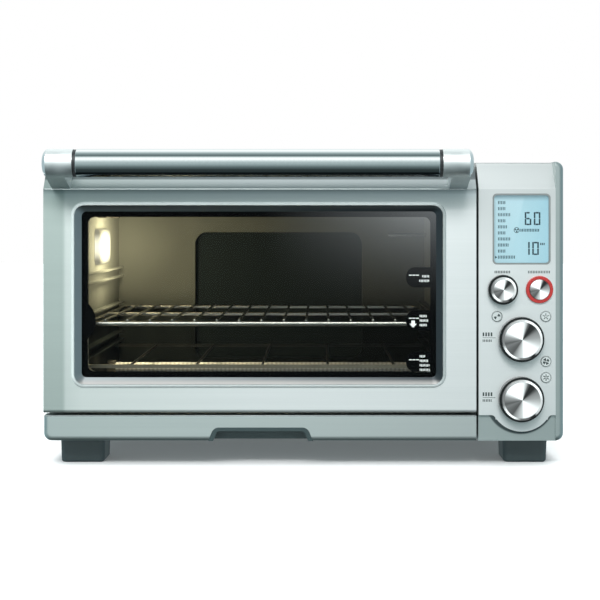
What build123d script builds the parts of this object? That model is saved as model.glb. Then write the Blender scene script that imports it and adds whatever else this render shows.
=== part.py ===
from build123d import *
import os

# Countertop convection toaster oven, in millimetres. +Z is up and the front faces -Y.
# The origin is at the middle of the footprint, on the surface that the oven stands on.

# Overall size
WIDTH = 470.0
DEPTH = 390.0
BODY_BOTTOM_Z = 22.6
BODY_TOP_Z = 275.0
LEFT_X = -WIDTH / 2
RIGHT_X = WIDTH / 2
REAR_Y = DEPTH / 2

# Handle tube, which reaches furthest forward and furthest up
HANDLE_RADIUS = 12.5
HANDLE_STANDOFF = 34.0
HANDLE_Y = -DEPTH / 2 + HANDLE_RADIUS
HANDLE_Z = 272.0
HANDLE_CENTRE_X = -39.6
HANDLE_TUBE_HALF = 159.3
HANDLE_COLLAR_LENGTH = 2.9
HANDLE_COLLAR_RADIUS = 12.1
HANDLE_WALL = 1.5
BARREL_LENGTH = 27.0
BARREL_NOSE_LENGTH = 3.8
BARREL_END_RADIUS = 5.6
LEG_WIDTH = 16.5
LEG_INSET = 2.0
LEG_FOOT_HEIGHT = 12.0

# Casing
FRONT_Y = HANDLE_Y + HANDLE_STANDOFF
FRAME_Y = FRONT_Y + 29.5
CASE_BACK_Y = 181.5
SHEET = 1.2
FRAME_SHEET = 1.5
PAN_TOP_Z = BODY_BOTTOM_Z + 1.6
FEET_FRONT_Y = FRONT_Y + 20.0
SHOULDER_Z = 255.0
SHOULDER_RADIUS = 8.0
RIB_HEIGHT = 1.0
RIB_COUNT = 7
RIB_PITCH = 42.0
DIVIDER_X = 149.0
BUMP_COVER_MARGIN = 9.0
BUMP_COVER_EDGE = 3.0
SCREW_RADIUS = 1.6
SCREW_HEAD_RADIUS = 3.3
REAR_SCREWS = [(x, z) for x in (-222.0, -80.0, 80.0, 222.0) for z in (32.0, 246.0)]
GLAND_X = 196.0
GLAND_Z = 52.0
GLAND_RADIUS = 7.0
GLAND_BORE_RADIUS = 3.6
FOOT_WIDTH = 41.0
FOOT_DEPTH = 43.0
FOOT_CENTRES = [
    (x, y) for x in (-203.0, 203.0) for y in (FEET_FRONT_Y + FOOT_DEPTH / 2, 151.0)
]

# Cavity, inside faces
CAVITY_LEFT_X = -210.5
CAVITY_RIGHT_X = 131.5
CAVITY_TOP_Z = 240.0
CAVITY_WALL_BOTTOM_Z = 46.0
CAVITY_OPENING_Z = 58.0
CAVITY_BACK_Y = 164.5
CAVITY_SHEET = 1.0
BUMP_LEFT_X = -125.0
BUMP_RIGHT_X = 62.0
BUMP_BOTTOM_Z = 67.5
BUMP_TOP_Z = 208.7
BUMP_CORNER = 13.0
BUMP_EDGE_DEPTH = 7.5
BUMP_DEPTH = 21.5
LAMP_Y = 30.0
LAMP_Z = 195.0
LAMP_LENGTH = 76.0
LAMP_HEIGHT = 36.0
BULB_X = -219.5
BULB_RADIUS = 6.5
UPPER_HEATERS = [(y, 232.0) for y in (-75.0, 15.0, 105.0)]
LOWER_HEATERS = [(y, 66.0) for y in (-55.0, 80.0)]
HEATER_PLACES = UPPER_HEATERS + LOWER_HEATERS
HEATER_RADIUS = 5.5
HOLDER_LENGTH = 9.0
HOLDER_SIZE = 15.0
GUARD_RAIL_Z = 85.6
GUARD_WIRE_PITCH = 62.0

# Door
DOOR_RIGHT_X = 156.0
DOOR_BOTTOM_Z = 47.9
DOOR_TOP_Z = 274.0
FACET_Z = 250.1
FACET_DEPTH = 20.0
DOOR_SHELL_DEPTH = 24.0
DOOR_SHEET = 1.5
DOOR_EDGE_RADIUS = 3.0
WINDOW_LEFT_X = -209.0
WINDOW_RIGHT_X = 127.8
WINDOW_BOTTOM_Z = 71.8
WINDOW_TOP_Z = 237.5
WINDOW_CORNER = 11.0
WINDOW_BEVEL = 7.6
WINDOW_DEPTH = 6.5
GLASS_CORNER = 4.5
GLASS_THICKNESS = 4.0
GLASS_OVERLAP = 2.5
LINER_MARGIN = 11.0

# Door hinge
HINGE_Y = FRONT_Y + 6.0
HINGE_Z = 55.6
HINGE_PIN_RADIUS = 2.0
HINGE_BORE_RADIUS = 2.07
HINGE_ARM_HALF_HEIGHT = 4.0
HINGE_ARM_WIDTH = 3.0
HINGE_ARM_LEFT_X = -228.0
HINGE_ARM_RIGHT_X = 146.0
HINGE_NOTCH_GAP = 0.6
HINGE_LUG_WIDTH = 3.0

# Controls
CONTROL_LEFT_X = 158.1
FASCIA_RIGHT_X = 227.6
FASCIA_BOTTOM_Z = 46.0
FASCIA_THICKNESS = 2.5
HOUSING_SHEET = 2.0
BAND_INSET = 0.5
BAND_CORNER = 7.0
BAND_EDGE_RADIUS = 4.0
SCALLOP_CENTRE = (197.0, 59.9)
SCALLOP_RADIUS = 28.8
SCALLOP_BLEND_RADIUS = 4.03
SCALLOP_BLEND_OFFSET = 27.5
LCD_CENTRE = (196.85, 213.95)
LCD_SIZE = (52.4, 64.1)
LCD_CORNER = 4.0
FUNCTION_KNOB = (179.7, 159.4)
START_BUTTON = (212.9, 159.4)
TEMPERATURE_KNOB = (196.1, 114.7)
TIME_KNOB = (196.1, 60.7)
SMALL_BUTTONS = {
    "reheat_button": (174.6, 135.1),
    "lamp_button": (218.6, 135.1),
    "convection_button": (218.8, 94.5),
    "frozen_button": (218.8, 80.0),
}
LARGE_KNOB_RADIUS = 18.1
LARGE_KNOB_LENGTH = 10.4
LARGE_COLLAR_DEPTH = 8.0
SMALL_KNOB_RADIUS = 11.3
SMALL_KNOB_LENGTH = 8.4
SMALL_COLLAR_DEPTH = 5.5
COLLAR_WALL = 1.9
COLLAR_GAP = 0.2
KNOB_BACK_Y = FRONT_Y - 1.6
KNOB_BEVEL = 0.5
KNOB_RIM = 1.5
SHAFT_RADIUS = 3.0
SHAFT_BORE_RADIUS = 3.06
START_RING_RADIUS = 12.3
START_HOLE_RADIUS = 9.3
START_CAP_RADIUS = 9.0
SMALL_HOLE_RADIUS = 5.05
SMALL_CAP_RADIUS = 4.8
BOARD_Y = FRONT_Y + 13.0

# Wire rack and crumb tray
RACK_Z = 125.7
RACK_FRONT_Y = FRONT_Y + 42.0
RACK_BACK_Y = 158.0
RACK_HALF_WIDTH = 166.5
RACK_BAR_RADIUS = 2.25
RACK_WIRE_RADIUS = 1.3
RACK_WIRE_COUNT = 15
RACK_WIRE_SPACING = 20.8
RACK_LEVELS = (94.0, RACK_Z, 164.2)
TRAY_TOP_Z = 45.6
TRAY_PAN_LEFT_X = -213.0
TRAY_PAN_RIGHT_X = 134.0
TRAY_PAN_BOTTOM_Z = 28.0
TRAY_PAN_TOP_Z = 43.5
TRAY_PAN_BACK_Y = 150.0
GRIP_CENTRE_X = -38.8
GRIP_DEPTH = 17.0
TRAY_FRONT_DEPTH = 18.0

# Fan on the cavity's right wall
FAN_Y = 40.0
FAN_Z = 148.0
FAN_RADIUS = 36.0
BLADE_COUNT = 12


def block(x0, x1, y0, y1, z0, z1):
    """A box between two corners."""
    centre = ((x0 + x1) / 2, (y0 + y1) / 2, (z0 + z1) / 2)
    return Pos(*centre) * Box(x1 - x0, y1 - y0, z1 - z0)


def rod_x(x0, x1, y, z, radius):
    """A cylinder along X."""
    return Pos((x0 + x1) / 2, y, z) * Rot(0, 90, 0) * Cylinder(radius, x1 - x0)


def rod_y(y0, y1, x, z, radius):
    """A cylinder along Y."""
    return Pos(x, (y0 + y1) / 2, z) * Rot(90, 0, 0) * Cylinder(radius, y1 - y0)


def facing_front(y):
    """The plane at that Y, seen from the front: its axes are +X and +Z."""
    return Plane(origin=(0, y, 0), x_dir=(1, 0, 0), z_dir=(0, -1, 0))


def rounded_frame_sketch(x0, x1, z0, z1, corner):
    """A rounded rectangle in X and Z."""
    return Pos((x0 + x1) / 2, (z0 + z1) / 2) * RectangleRounded(x1 - x0, z1 - z0, corner)


def rounded_prism(x0, x1, z0, z1, corner, y0, y1):
    """A rounded rectangle in X and Z, extruded along Y."""
    sketch = rounded_frame_sketch(x0, x1, z0, z1, corner)
    return extrude(facing_front(y0) * sketch, amount=y0 - y1)


def across(points, x0, x1):
    """A closed outline in Y and Z, extruded along X."""
    outline = make_face(Polyline(*points, close=True))
    plane = Plane(origin=(x0, 0, 0), x_dir=(0, 1, 0), z_dir=(1, 0, 0))
    return extrude(plane * outline, amount=x1 - x0)


def fuse(parts):
    """One solid from several that touch or overlap."""
    whole = parts[0]
    for part in parts[1:]:
        whole = whole + part
    return whole


def group(parts):
    """Separate solids that share one node."""
    return Compound(children=parts)


def edges_along(shape, axis, test):
    """The straight edges parallel to an axis whose middle passes a test."""
    return [edge for edge in shape.edges().filter_by(axis) if test(edge.center())]


# ---------------------------------------------------------------- casing

def base_pan():
    """The bottom plate, with a tongue under the door that the left front foot stands on."""
    back = CASE_BACK_Y - SHEET
    inner_left = LEFT_X + SHEET
    inner_right = RIGHT_X - SHEET
    pan = block(inner_left, inner_right, FRAME_Y, back, BODY_BOTTOM_Z, PAN_TOP_Z)
    pan += block(inner_left, DOOR_RIGHT_X, FEET_FRONT_Y, FRAME_Y, BODY_BOTTOM_Z, PAN_TOP_Z)
    slot_pitch = 14.0
    for row in range(2):
        for column in range(9):
            x = -190.0 + row * 362.0
            y = -40.0 + column * slot_pitch
            pan -= block(x - 16, x + 16, y - 2, y + 2, BODY_BOTTOM_Z - 1, BODY_BOTTOM_Z + 3)
    return pan


def top_cover():
    outer = block(LEFT_X, RIGHT_X, FRAME_Y, CASE_BACK_Y, SHOULDER_Z, BODY_TOP_Z)
    corners = edges_along(outer, Axis.Y, lambda c: c.Z > BODY_TOP_Z - 1)
    outer = fillet(corners, SHOULDER_RADIUS)
    inner = block(
        LEFT_X + SHEET, RIGHT_X - SHEET, FRAME_Y - 1, CASE_BACK_Y - SHEET,
        SHOULDER_Z - 1, BODY_TOP_Z - SHEET,
    )
    inner_corners = edges_along(inner, Axis.Y, lambda c: c.Z > SHOULDER_Z)
    cover = outer - fillet(inner_corners, SHOULDER_RADIUS - SHEET)
    for index in range(RIB_COUNT):
        x = HANDLE_CENTRE_X + (index - (RIB_COUNT - 1) / 2) * RIB_PITCH
        rib = extrude(
            Pos(x, 30.0, BODY_TOP_Z) * SlotOverall(210.0, 7.0, rotation=90), amount=RIB_HEIGHT
        )
        cover += rib
    return cover


def side_panel(x0, x1):
    panel = block(x0, x1, FRAME_Y, CASE_BACK_Y, BODY_BOTTOM_Z, SHOULDER_Z)
    corners = edges_along(panel, Axis.X, lambda c: c.Z < BODY_BOTTOM_Z + 1)
    panel = fillet(corners, 6.0)
    for column in range(2):
        for row in range(9):
            y = 60.0 + column * 52.0
            z = 62.0 + row * 9.0
            panel -= block(x0 - 1, x1 + 1, y - 20, y + 20, z - 1.6, z + 1.6)
    return panel


def rear_panel():
    y0 = CASE_BACK_Y - SHEET
    panel = block(LEFT_X + SHEET, RIGHT_X - SHEET, y0, CASE_BACK_Y, BODY_BOTTOM_Z, SHOULDER_Z)
    panel -= rounded_prism(
        BUMP_LEFT_X - 6, BUMP_RIGHT_X + 6, BUMP_BOTTOM_Z - 6, BUMP_TOP_Z + 6, BUMP_CORNER,
        y0 - 1, CASE_BACK_Y + 1,
    )
    for column in range(4):
        for row in range(7):
            x = 100.0 + column * 32.0
            z = 110.0 + row * 10.0
            panel -= block(x - 13, x + 13, y0 - 1, CASE_BACK_Y + 1, z - 1.8, z + 1.8)
    panel -= rod_y(y0 - 1, CASE_BACK_Y + 1, GLAND_X, GLAND_Z, GLAND_RADIUS + 0.1)
    for x, z in REAR_SCREWS:
        panel -= rod_y(y0 - 1, CASE_BACK_Y + 1, x, z, SCREW_RADIUS + 0.15)
    return panel


def rear_bump_cover():
    x0 = BUMP_LEFT_X - BUMP_COVER_MARGIN
    x1 = BUMP_RIGHT_X + BUMP_COVER_MARGIN
    z0 = BUMP_BOTTOM_Z - BUMP_COVER_MARGIN
    z1 = BUMP_TOP_Z + BUMP_COVER_MARGIN
    corner = BUMP_CORNER + BUMP_COVER_MARGIN
    cover = rounded_prism(x0, x1, z0, z1, corner, CASE_BACK_Y, REAR_Y)
    back_edges = cover.edges().filter_by_position(Axis.Y, REAR_Y - 0.01, REAR_Y + 0.01)
    cover = fillet(back_edges, BUMP_COVER_EDGE)
    inside = rounded_prism(
        x0 + SHEET, x1 - SHEET, z0 + SHEET, z1 - SHEET, corner - SHEET,
        CASE_BACK_Y - 1, REAR_Y - SHEET,
    )
    return cover - inside


def front_frame():
    y1 = FRAME_Y + FRAME_SHEET
    frame = block(LEFT_X + SHEET, RIGHT_X - SHEET, FRAME_Y, y1, PAN_TOP_Z, BODY_TOP_Z - SHEET)
    top_corners = edges_along(frame, Axis.Y, lambda c: c.Z > BODY_TOP_Z - 5)
    frame = fillet(top_corners, SHOULDER_RADIUS - SHEET)
    frame -= rounded_prism(
        CAVITY_LEFT_X, CAVITY_RIGHT_X, CAVITY_OPENING_Z, CAVITY_TOP_Z, 4.0, FRAME_Y - 1, y1 + 1
    )
    frame -= block(
        TRAY_PAN_LEFT_X - 3, TRAY_PAN_RIGHT_X + 3, FRAME_Y - 1, y1 + 1, 26.0, CAVITY_WALL_BOTTOM_Z
    )
    frame -= rounded_prism(166.0, 227.0, 40.0, 250.0, 4.0, FRAME_Y - 1, y1 + 1)
    return frame


def panel_divider():
    y0 = FRAME_Y + FRAME_SHEET
    divider = block(
        DIVIDER_X, DIVIDER_X + SHEET, y0, CASE_BACK_Y - SHEET, PAN_TOP_Z, BODY_TOP_Z - SHEET
    )
    return divider - rod_x(DIVIDER_X - 1, DIVIDER_X + 3, FAN_Y, FAN_Z, SHAFT_RADIUS + 1.0)


def feet():
    def foot(x, y):
        sketch = Pos(x, y, BODY_BOTTOM_Z) * RectangleRounded(FOOT_WIDTH, FOOT_DEPTH, 6.0)
        body = extrude(sketch, amount=-BODY_BOTTOM_Z, taper=2.0)
        bottom = body.edges().filter_by_position(Axis.Z, -0.01, 0.01)
        return fillet(bottom, 2.5)
    return group([foot(x, y) for x, y in FOOT_CENTRES])


def case_screws():
    def screw(x, z):
        head = rod_y(CASE_BACK_Y, CASE_BACK_Y + 2.0, x, z, SCREW_HEAD_RADIUS)
        rim = head.edges().filter_by_position(Axis.Y, CASE_BACK_Y + 1.9, CASE_BACK_Y + 2.1)
        head = fillet(rim, 1.0)
        head -= block(x - 2.0, x + 2.0, CASE_BACK_Y + 1.2, CASE_BACK_Y + 3, z - 0.4, z + 0.4)
        head -= block(x - 0.4, x + 0.4, CASE_BACK_Y + 1.2, CASE_BACK_Y + 3, z - 2.0, z + 2.0)
        return head + rod_y(CASE_BACK_Y - 7.0, CASE_BACK_Y + 0.5, x, z, SCREW_RADIUS)
    return group([screw(x, z) for x, z in REAR_SCREWS])


def cord_gland():
    bush = rod_y(CASE_BACK_Y - 5.0, CASE_BACK_Y + 1.0, GLAND_X, GLAND_Z, GLAND_RADIUS)
    flange = rod_y(CASE_BACK_Y, CASE_BACK_Y + 3.0, GLAND_X, GLAND_Z, GLAND_RADIUS + 3.0)
    nose = rod_y(CASE_BACK_Y + 2.0, CASE_BACK_Y + 11.0, GLAND_X, GLAND_Z, GLAND_RADIUS - 1.0)
    tip = nose.edges().filter_by_position(Axis.Y, CASE_BACK_Y + 10.9, CASE_BACK_Y + 11.1)
    nose = chamfer(tip, 1.6)
    bore = rod_y(CASE_BACK_Y - 6, CASE_BACK_Y + 12, GLAND_X, GLAND_Z, GLAND_BORE_RADIUS)
    return bush + flange + nose - bore


# ---------------------------------------------------------------- cavity

def cavity_top_wall():
    return block(
        CAVITY_LEFT_X - CAVITY_SHEET, CAVITY_RIGHT_X + CAVITY_SHEET,
        FRAME_Y + FRAME_SHEET, CAVITY_BACK_Y + CAVITY_SHEET,
        CAVITY_TOP_Z, CAVITY_TOP_Z + CAVITY_SHEET,
    )


def cavity_side_wall(x0):
    return block(
        x0, x0 + CAVITY_SHEET, FRAME_Y + FRAME_SHEET, CAVITY_BACK_Y,
        CAVITY_WALL_BOTTOM_Z, CAVITY_TOP_Z,
    )


def lamp_box(x0, x1, margin):
    """A rounded box centred on the lamp, along X."""
    plane = Plane(origin=(x0, LAMP_Y, LAMP_Z), x_dir=(0, 1, 0), z_dir=(1, 0, 0))
    sketch = RectangleRounded(LAMP_LENGTH + 2 * margin, LAMP_HEIGHT + 2 * margin, 6.0 + margin)
    return extrude(plane * sketch, amount=x1 - x0)


def cavity_left_wall():
    wall = cavity_side_wall(CAVITY_LEFT_X - CAVITY_SHEET)
    return wall - lamp_box(CAVITY_LEFT_X - 3, CAVITY_LEFT_X + 1, -3.0)


def cavity_right_wall():
    wall = cavity_side_wall(CAVITY_RIGHT_X)
    hole_pitch = 8.0
    intake_radius = 11.5
    for row in range(-3, 4):
        for column in range(-6, 7):
            dy = (column + (row % 2) / 2) * hole_pitch
            dz = row * hole_pitch * 0.87
            if dz ** 2 < intake_radius ** 2 and dy ** 2 + dz ** 2 < FAN_RADIUS ** 2:
                wall -= rod_x(
                    CAVITY_RIGHT_X - 1, CAVITY_RIGHT_X + 3, FAN_Y + dy, FAN_Z + dz, 2.4
                )
    return wall


def bump_solid(inset, y0):
    """The rearward bulge, bowed in plan so that a round pan fits."""
    x0 = BUMP_LEFT_X - inset
    x1 = BUMP_RIGHT_X + inset
    edge_y = CAVITY_BACK_Y + BUMP_EDGE_DEPTH + inset
    middle = ((x0 + x1) / 2, CAVITY_BACK_Y + BUMP_DEPTH + inset)
    outline = Wire([
        Line((x0, y0), (x0, edge_y)),
        ThreePointArc((x0, edge_y), middle, (x1, edge_y)),
        Line((x1, edge_y), (x1, y0)),
        Line((x1, y0), (x0, y0)),
    ])
    z0 = BUMP_BOTTOM_Z - inset
    z1 = BUMP_TOP_Z + inset
    bowed = extrude(Pos(0, 0, z0) * make_face(outline), amount=z1 - z0)
    return fillet(bowed.edges().filter_by(Axis.Y), BUMP_CORNER + inset)


def cavity_back_wall():
    wall = block(
        CAVITY_LEFT_X - CAVITY_SHEET, CAVITY_RIGHT_X + CAVITY_SHEET,
        CAVITY_BACK_Y, CAVITY_BACK_Y + CAVITY_SHEET, CAVITY_WALL_BOTTOM_Z, CAVITY_TOP_Z,
    )
    return wall + bump_solid(CAVITY_SHEET, CAVITY_BACK_Y) - bump_solid(0.0, CAVITY_BACK_Y - 1)


def rack_guides():
    """Pairs of ledges on both side walls, one pair for each rack position."""
    reach = 8.0
    thickness = 1.5
    rails = []
    for level in RACK_LEVELS:
        below = level - RACK_BAR_RADIUS - 0.3
        above = level + RACK_BAR_RADIUS + 3.0
        for x0 in (CAVITY_LEFT_X, CAVITY_RIGHT_X - reach):
            x1 = x0 + reach
            rails.append(block(x0, x1, FRAME_Y + 10, 150.0, below - thickness, below))
            rails.append(block(x0, x1, FRAME_Y + 10, 150.0, above, above + thickness))
    return group(rails)


def quartz_heaters():
    x0 = CAVITY_LEFT_X + HOLDER_LENGTH
    x1 = CAVITY_RIGHT_X - HOLDER_LENGTH
    return group([rod_x(x0, x1, y, z, HEATER_RADIUS) for y, z in HEATER_PLACES])


def heater_holders():
    half = HOLDER_SIZE / 2
    holders = []
    for y, z in HEATER_PLACES:
        for x0 in (CAVITY_LEFT_X, CAVITY_RIGHT_X - HOLDER_LENGTH):
            holder = block(x0, x0 + HOLDER_LENGTH, y - half, y + half, z - half, z + half)
            holders.append(chamfer(holder.edges().filter_by(Axis.X), 3.0))
    return group(holders)


def lower_heater_guard():
    """Cross rails between the side walls with wires over the lower heaters."""
    front_y = FRONT_Y + 45.0
    back_y = 122.0
    rails = [
        block(
            CAVITY_LEFT_X + 0.2, CAVITY_RIGHT_X - 0.2, y - 1.5, y + 1.5,
            GUARD_RAIL_Z - 1.6, GUARD_RAIL_Z + 1.6,
        )
        for y in (front_y, back_y)
    ]
    wires = [
        rod_y(front_y, back_y, HANDLE_CENTRE_X + place * GUARD_WIRE_PITCH, GUARD_RAIL_Z, 1.2)
        for place in (-2.0, -1.0, 0.0, 1.0, 2.0)
    ]
    return fuse(rails + wires)


def lamp_housing():
    return lamp_box(-231.0, CAVITY_LEFT_X - CAVITY_SHEET, 1.0) - lamp_box(-229.5, CAVITY_LEFT_X, -2.0)


def lamp_bulb():
    glass = rod_y(LAMP_Y - 14, LAMP_Y + 12, BULB_X, LAMP_Z, BULB_RADIUS)
    ends = glass.edges().filter_by(GeomType.CIRCLE)
    return fillet(ends, 4.0) + rod_y(LAMP_Y + 11, LAMP_Y + 24, BULB_X, LAMP_Z, BULB_RADIUS - 2)


def lamp_lens():
    lens = lamp_box(CAVITY_LEFT_X, CAVITY_LEFT_X + 5.0, 0.0)
    rim = lens.edges().filter_by_position(Axis.X, CAVITY_LEFT_X + 4.9, CAVITY_LEFT_X + 5.1)
    return fillet(rim, 3.5)


def temperature_probe():
    return rod_x(CAVITY_RIGHT_X - 42, CAVITY_RIGHT_X, 132.0, 206.0, 2.0)


def fan_shroud():
    outer = rod_x(CAVITY_RIGHT_X + CAVITY_SHEET, DIVIDER_X, FAN_Y, FAN_Z, FAN_RADIUS + 5.0)
    return outer - rod_x(CAVITY_RIGHT_X, DIVIDER_X + 1, FAN_Y, FAN_Z, FAN_RADIUS + 3.8)


def fan_impeller():
    back_x = 145.0
    blade_x = 135.0
    disc = rod_x(back_x, back_x + 1.2, FAN_Y, FAN_Z, FAN_RADIUS)
    hub = rod_x(blade_x, back_x, FAN_Y, FAN_Z, 7.0)
    shaft = rod_x(back_x, 172.0, FAN_Y, FAN_Z, SHAFT_RADIUS)
    blades = []
    for index in range(BLADE_COUNT):
        blade = block(blade_x, back_x + 0.5, -0.6, 0.6, 6.0, FAN_RADIUS - 0.5)
        turn = Rot(index * 360.0 / BLADE_COUNT, 0, 0)
        blades.append(Pos(0, FAN_Y, FAN_Z) * turn * blade)
    return fuse([disc, hub, shaft] + blades)


def fan_motor():
    x0 = DIVIDER_X + SHEET
    body = rod_x(x0 + 2, 186.0, FAN_Y, FAN_Z, 21.0)
    flange = block(x0, x0 + 2.5, FAN_Y - 30, FAN_Y + 30, FAN_Z - 12, FAN_Z + 12)
    return body + flange - rod_x(x0 - 1, 178.0, FAN_Y, FAN_Z, SHAFT_BORE_RADIUS)


# ---------------------------------------------------------------- controls

def faceted_profile(front, back, bottom, inset):
    """The side outline shared by the door and the control side, with its sloping top edge."""
    slope = FACET_DEPTH / (DOOR_TOP_Z - FACET_Z)
    front_y = front + inset
    facet_low = FACET_Z - inset * 0.45
    facet_high = DOOR_TOP_Z - inset
    facet_y = front_y + (facet_high - facet_low) * slope
    return [
        (front_y, bottom + inset), (front_y, facet_low), (facet_y, facet_high),
        (back, facet_high), (back, bottom + inset),
    ]


def round_button_hole(centre, radius, y0, y1):
    return rod_y(y0, y1, centre[0], centre[1], radius)


def control_cutouts(y0, y1):
    """What the fascia and its housing are cut away for."""
    x, z = LCD_CENTRE
    width, height = LCD_SIZE
    window = rounded_prism(
        x - width / 2, x + width / 2, z - height / 2, z + height / 2, LCD_CORNER, y0, y1
    )
    holes = [window, round_button_hole(START_BUTTON, START_HOLE_RADIUS, y0, y1)]
    for centre in (FUNCTION_KNOB, TEMPERATURE_KNOB, TIME_KNOB):
        holes.append(round_button_hole(centre, SHAFT_RADIUS + 1.0, y0, y1))
    for centre in SMALL_BUTTONS.values():
        holes.append(round_button_hole(centre, SMALL_HOLE_RADIUS, y0, y1))
    return holes


def scallop_webs(y0, y1):
    """Fillers that blend the scallop into the fascia's lower edge with concave corners."""
    x = SCALLOP_CENTRE[0]
    webs = []
    for side in (-1, 1):
        near_x = x + side * 20.0
        far_x = min(x + side * SCALLOP_BLEND_OFFSET, FASCIA_RIGHT_X)
        web = block(*sorted((near_x, far_x)), y0, y1, FASCIA_BOTTOM_Z - 4.0, FASCIA_BOTTOM_Z)
        corner = rod_y(
            y0 - 1, y1 + 1, x + side * SCALLOP_BLEND_OFFSET,
            FASCIA_BOTTOM_Z - SCALLOP_BLEND_RADIUS, SCALLOP_BLEND_RADIUS,
        )
        webs.append(web - corner)
    return webs


def control_fascia():
    """The control side's front skin, which drops round the lowest knob in a scallop."""
    y1 = FRONT_Y + FASCIA_THICKNESS
    outer = across(
        faceted_profile(FRONT_Y, FRAME_Y - 4.0, FASCIA_BOTTOM_Z, 0.0),
        CONTROL_LEFT_X, FASCIA_RIGHT_X,
    )
    behind = across(
        faceted_profile(FRONT_Y, FRAME_Y, FASCIA_BOTTOM_Z - 40, FASCIA_THICKNESS),
        CONTROL_LEFT_X - 1, FASCIA_RIGHT_X + 1,
    )
    plate = outer - behind
    lobe = rod_y(FRONT_Y, y1, *SCALLOP_CENTRE, SCALLOP_RADIUS)
    below = block(CONTROL_LEFT_X, RIGHT_X, FRONT_Y - 1, y1 + 1, 0, FASCIA_BOTTOM_Z + 1)
    plate += lobe & below
    for web in scallop_webs(FRONT_Y, y1):
        plate += web
    for hole in control_cutouts(FRONT_Y - 1, y1 + 1):
        plate -= hole
    return plate


def control_housing():
    """The shell behind the fascia, with an upright side cheek that is almost flush with it."""
    front = FRONT_Y + FASCIA_THICKNESS
    inset = FASCIA_THICKNESS
    recessed = across(
        faceted_profile(FRONT_Y, FRAME_Y, BODY_BOTTOM_Z - inset, inset),
        CONTROL_LEFT_X, FASCIA_RIGHT_X + 1.0,
    )
    cheek = block(
        FASCIA_RIGHT_X, RIGHT_X, FRONT_Y + BAND_INSET, FRAME_Y, BODY_BOTTOM_Z, BODY_TOP_Z
    )
    cheek = fillet(edges_along(cheek, Axis.Y, lambda c: c.X > RIGHT_X - 1), BAND_CORNER)
    front_edge = [
        edge for edge in cheek.edges()
        if edge.center().Y < FRONT_Y + 1 and edge.center().X > RIGHT_X - BAND_CORNER / 2
    ]
    cheek = fillet(front_edge, BAND_EDGE_RADIUS)
    inner = block(
        CONTROL_LEFT_X + HOUSING_SHEET, RIGHT_X - HOUSING_SHEET, front + HOUSING_SHEET, FRAME_Y + 1,
        BODY_BOTTOM_Z + HOUSING_SHEET, FACET_Z - 2.0,
    )
    housing = recessed + cheek - inner
    for hole in control_cutouts(front - 1, front + HOUSING_SHEET + 1):
        housing -= hole
    return housing


def lcd_prism(margin, corner, y0, y1):
    x, z = LCD_CENTRE
    half_width = LCD_SIZE[0] / 2 - margin
    half_height = LCD_SIZE[1] / 2 - margin
    return rounded_prism(
        x - half_width, x + half_width, z - half_height, z + half_height, corner, y0, y1
    )


def lcd_bezel():
    ring = lcd_prism(0.05, LCD_CORNER, FRONT_Y + 0.3, FRONT_Y + 4.0)
    return ring - lcd_prism(1.5, LCD_CORNER - 1.2, FRONT_Y, FRONT_Y + 5.0)


def lcd_window():
    return lcd_prism(1.55, LCD_CORNER - 1.2, FRONT_Y + 1.2, FRONT_Y + 2.2)


def lcd_module():
    return lcd_prism(1.55, LCD_CORNER - 1.2, FRONT_Y + 2.4, FRONT_Y + 4.0) + lcd_prism(
        0.5, LCD_CORNER, FRONT_Y + 4.0, FRONT_Y + 8.0
    )


def control_board():
    return block(166.0, 226.0, BOARD_Y, BOARD_Y + 1.6, 42.0, 178.0)


def rotary_encoders():
    encoders = []
    for x, z in (FUNCTION_KNOB, TEMPERATURE_KNOB, TIME_KNOB):
        body = block(x - 6, x + 6, FRONT_Y + 6.0, BOARD_Y, z - 6.5, z + 6.5)
        bush = rod_y(FRONT_Y + 4.6, FRONT_Y + 7.0, x, z, 4.6)
        encoders.append(body + bush - rod_y(FRONT_Y + 4, FRONT_Y + 12.0, x, z, SHAFT_BORE_RADIUS))
    return group(encoders)


def button_switches():
    switches = []
    for x, z in [START_BUTTON] + list(SMALL_BUTTONS.values()):
        switches.append(block(x - 3, x + 3, FRONT_Y + 8.0, BOARD_Y, z - 3, z + 3))
    return group(switches)


def knob_collars():
    """Dark sleeves round the knobs, which stand on the fascia."""
    collars = []
    for (x, z), knob_radius, depth in (
        (TEMPERATURE_KNOB, LARGE_KNOB_RADIUS, LARGE_COLLAR_DEPTH),
        (TIME_KNOB, LARGE_KNOB_RADIUS, LARGE_COLLAR_DEPTH),
        (FUNCTION_KNOB, SMALL_KNOB_RADIUS, SMALL_COLLAR_DEPTH),
    ):
        outer_radius = knob_radius + COLLAR_GAP + COLLAR_WALL
        sleeve = rod_y(FRONT_Y - depth, FRONT_Y, x, z, outer_radius)
        front_rim = sleeve.edges().filter_by_position(
            Axis.Y, FRONT_Y - depth - 0.1, FRONT_Y - depth + 0.1
        )
        sleeve = fillet(front_rim, 0.5)
        sleeve -= rod_y(FRONT_Y - depth - 1, FRONT_Y - 1.2, x, z, knob_radius + COLLAR_GAP)
        collars.append(sleeve - rod_y(FRONT_Y - 2, FRONT_Y + 1, x, z, SHAFT_RADIUS + 1.0))
    return group(collars)


def start_ring():
    x, z = START_BUTTON
    ring = rod_y(FRONT_Y - 2.2, FRONT_Y, x, z, START_RING_RADIUS)
    rim = ring.edges().filter_by_position(Axis.Y, FRONT_Y - 2.3, FRONT_Y - 2.1)
    return fillet(rim, 0.8) - rod_y(FRONT_Y - 3, FRONT_Y + 1, x, z, START_HOLE_RADIUS)


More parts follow.
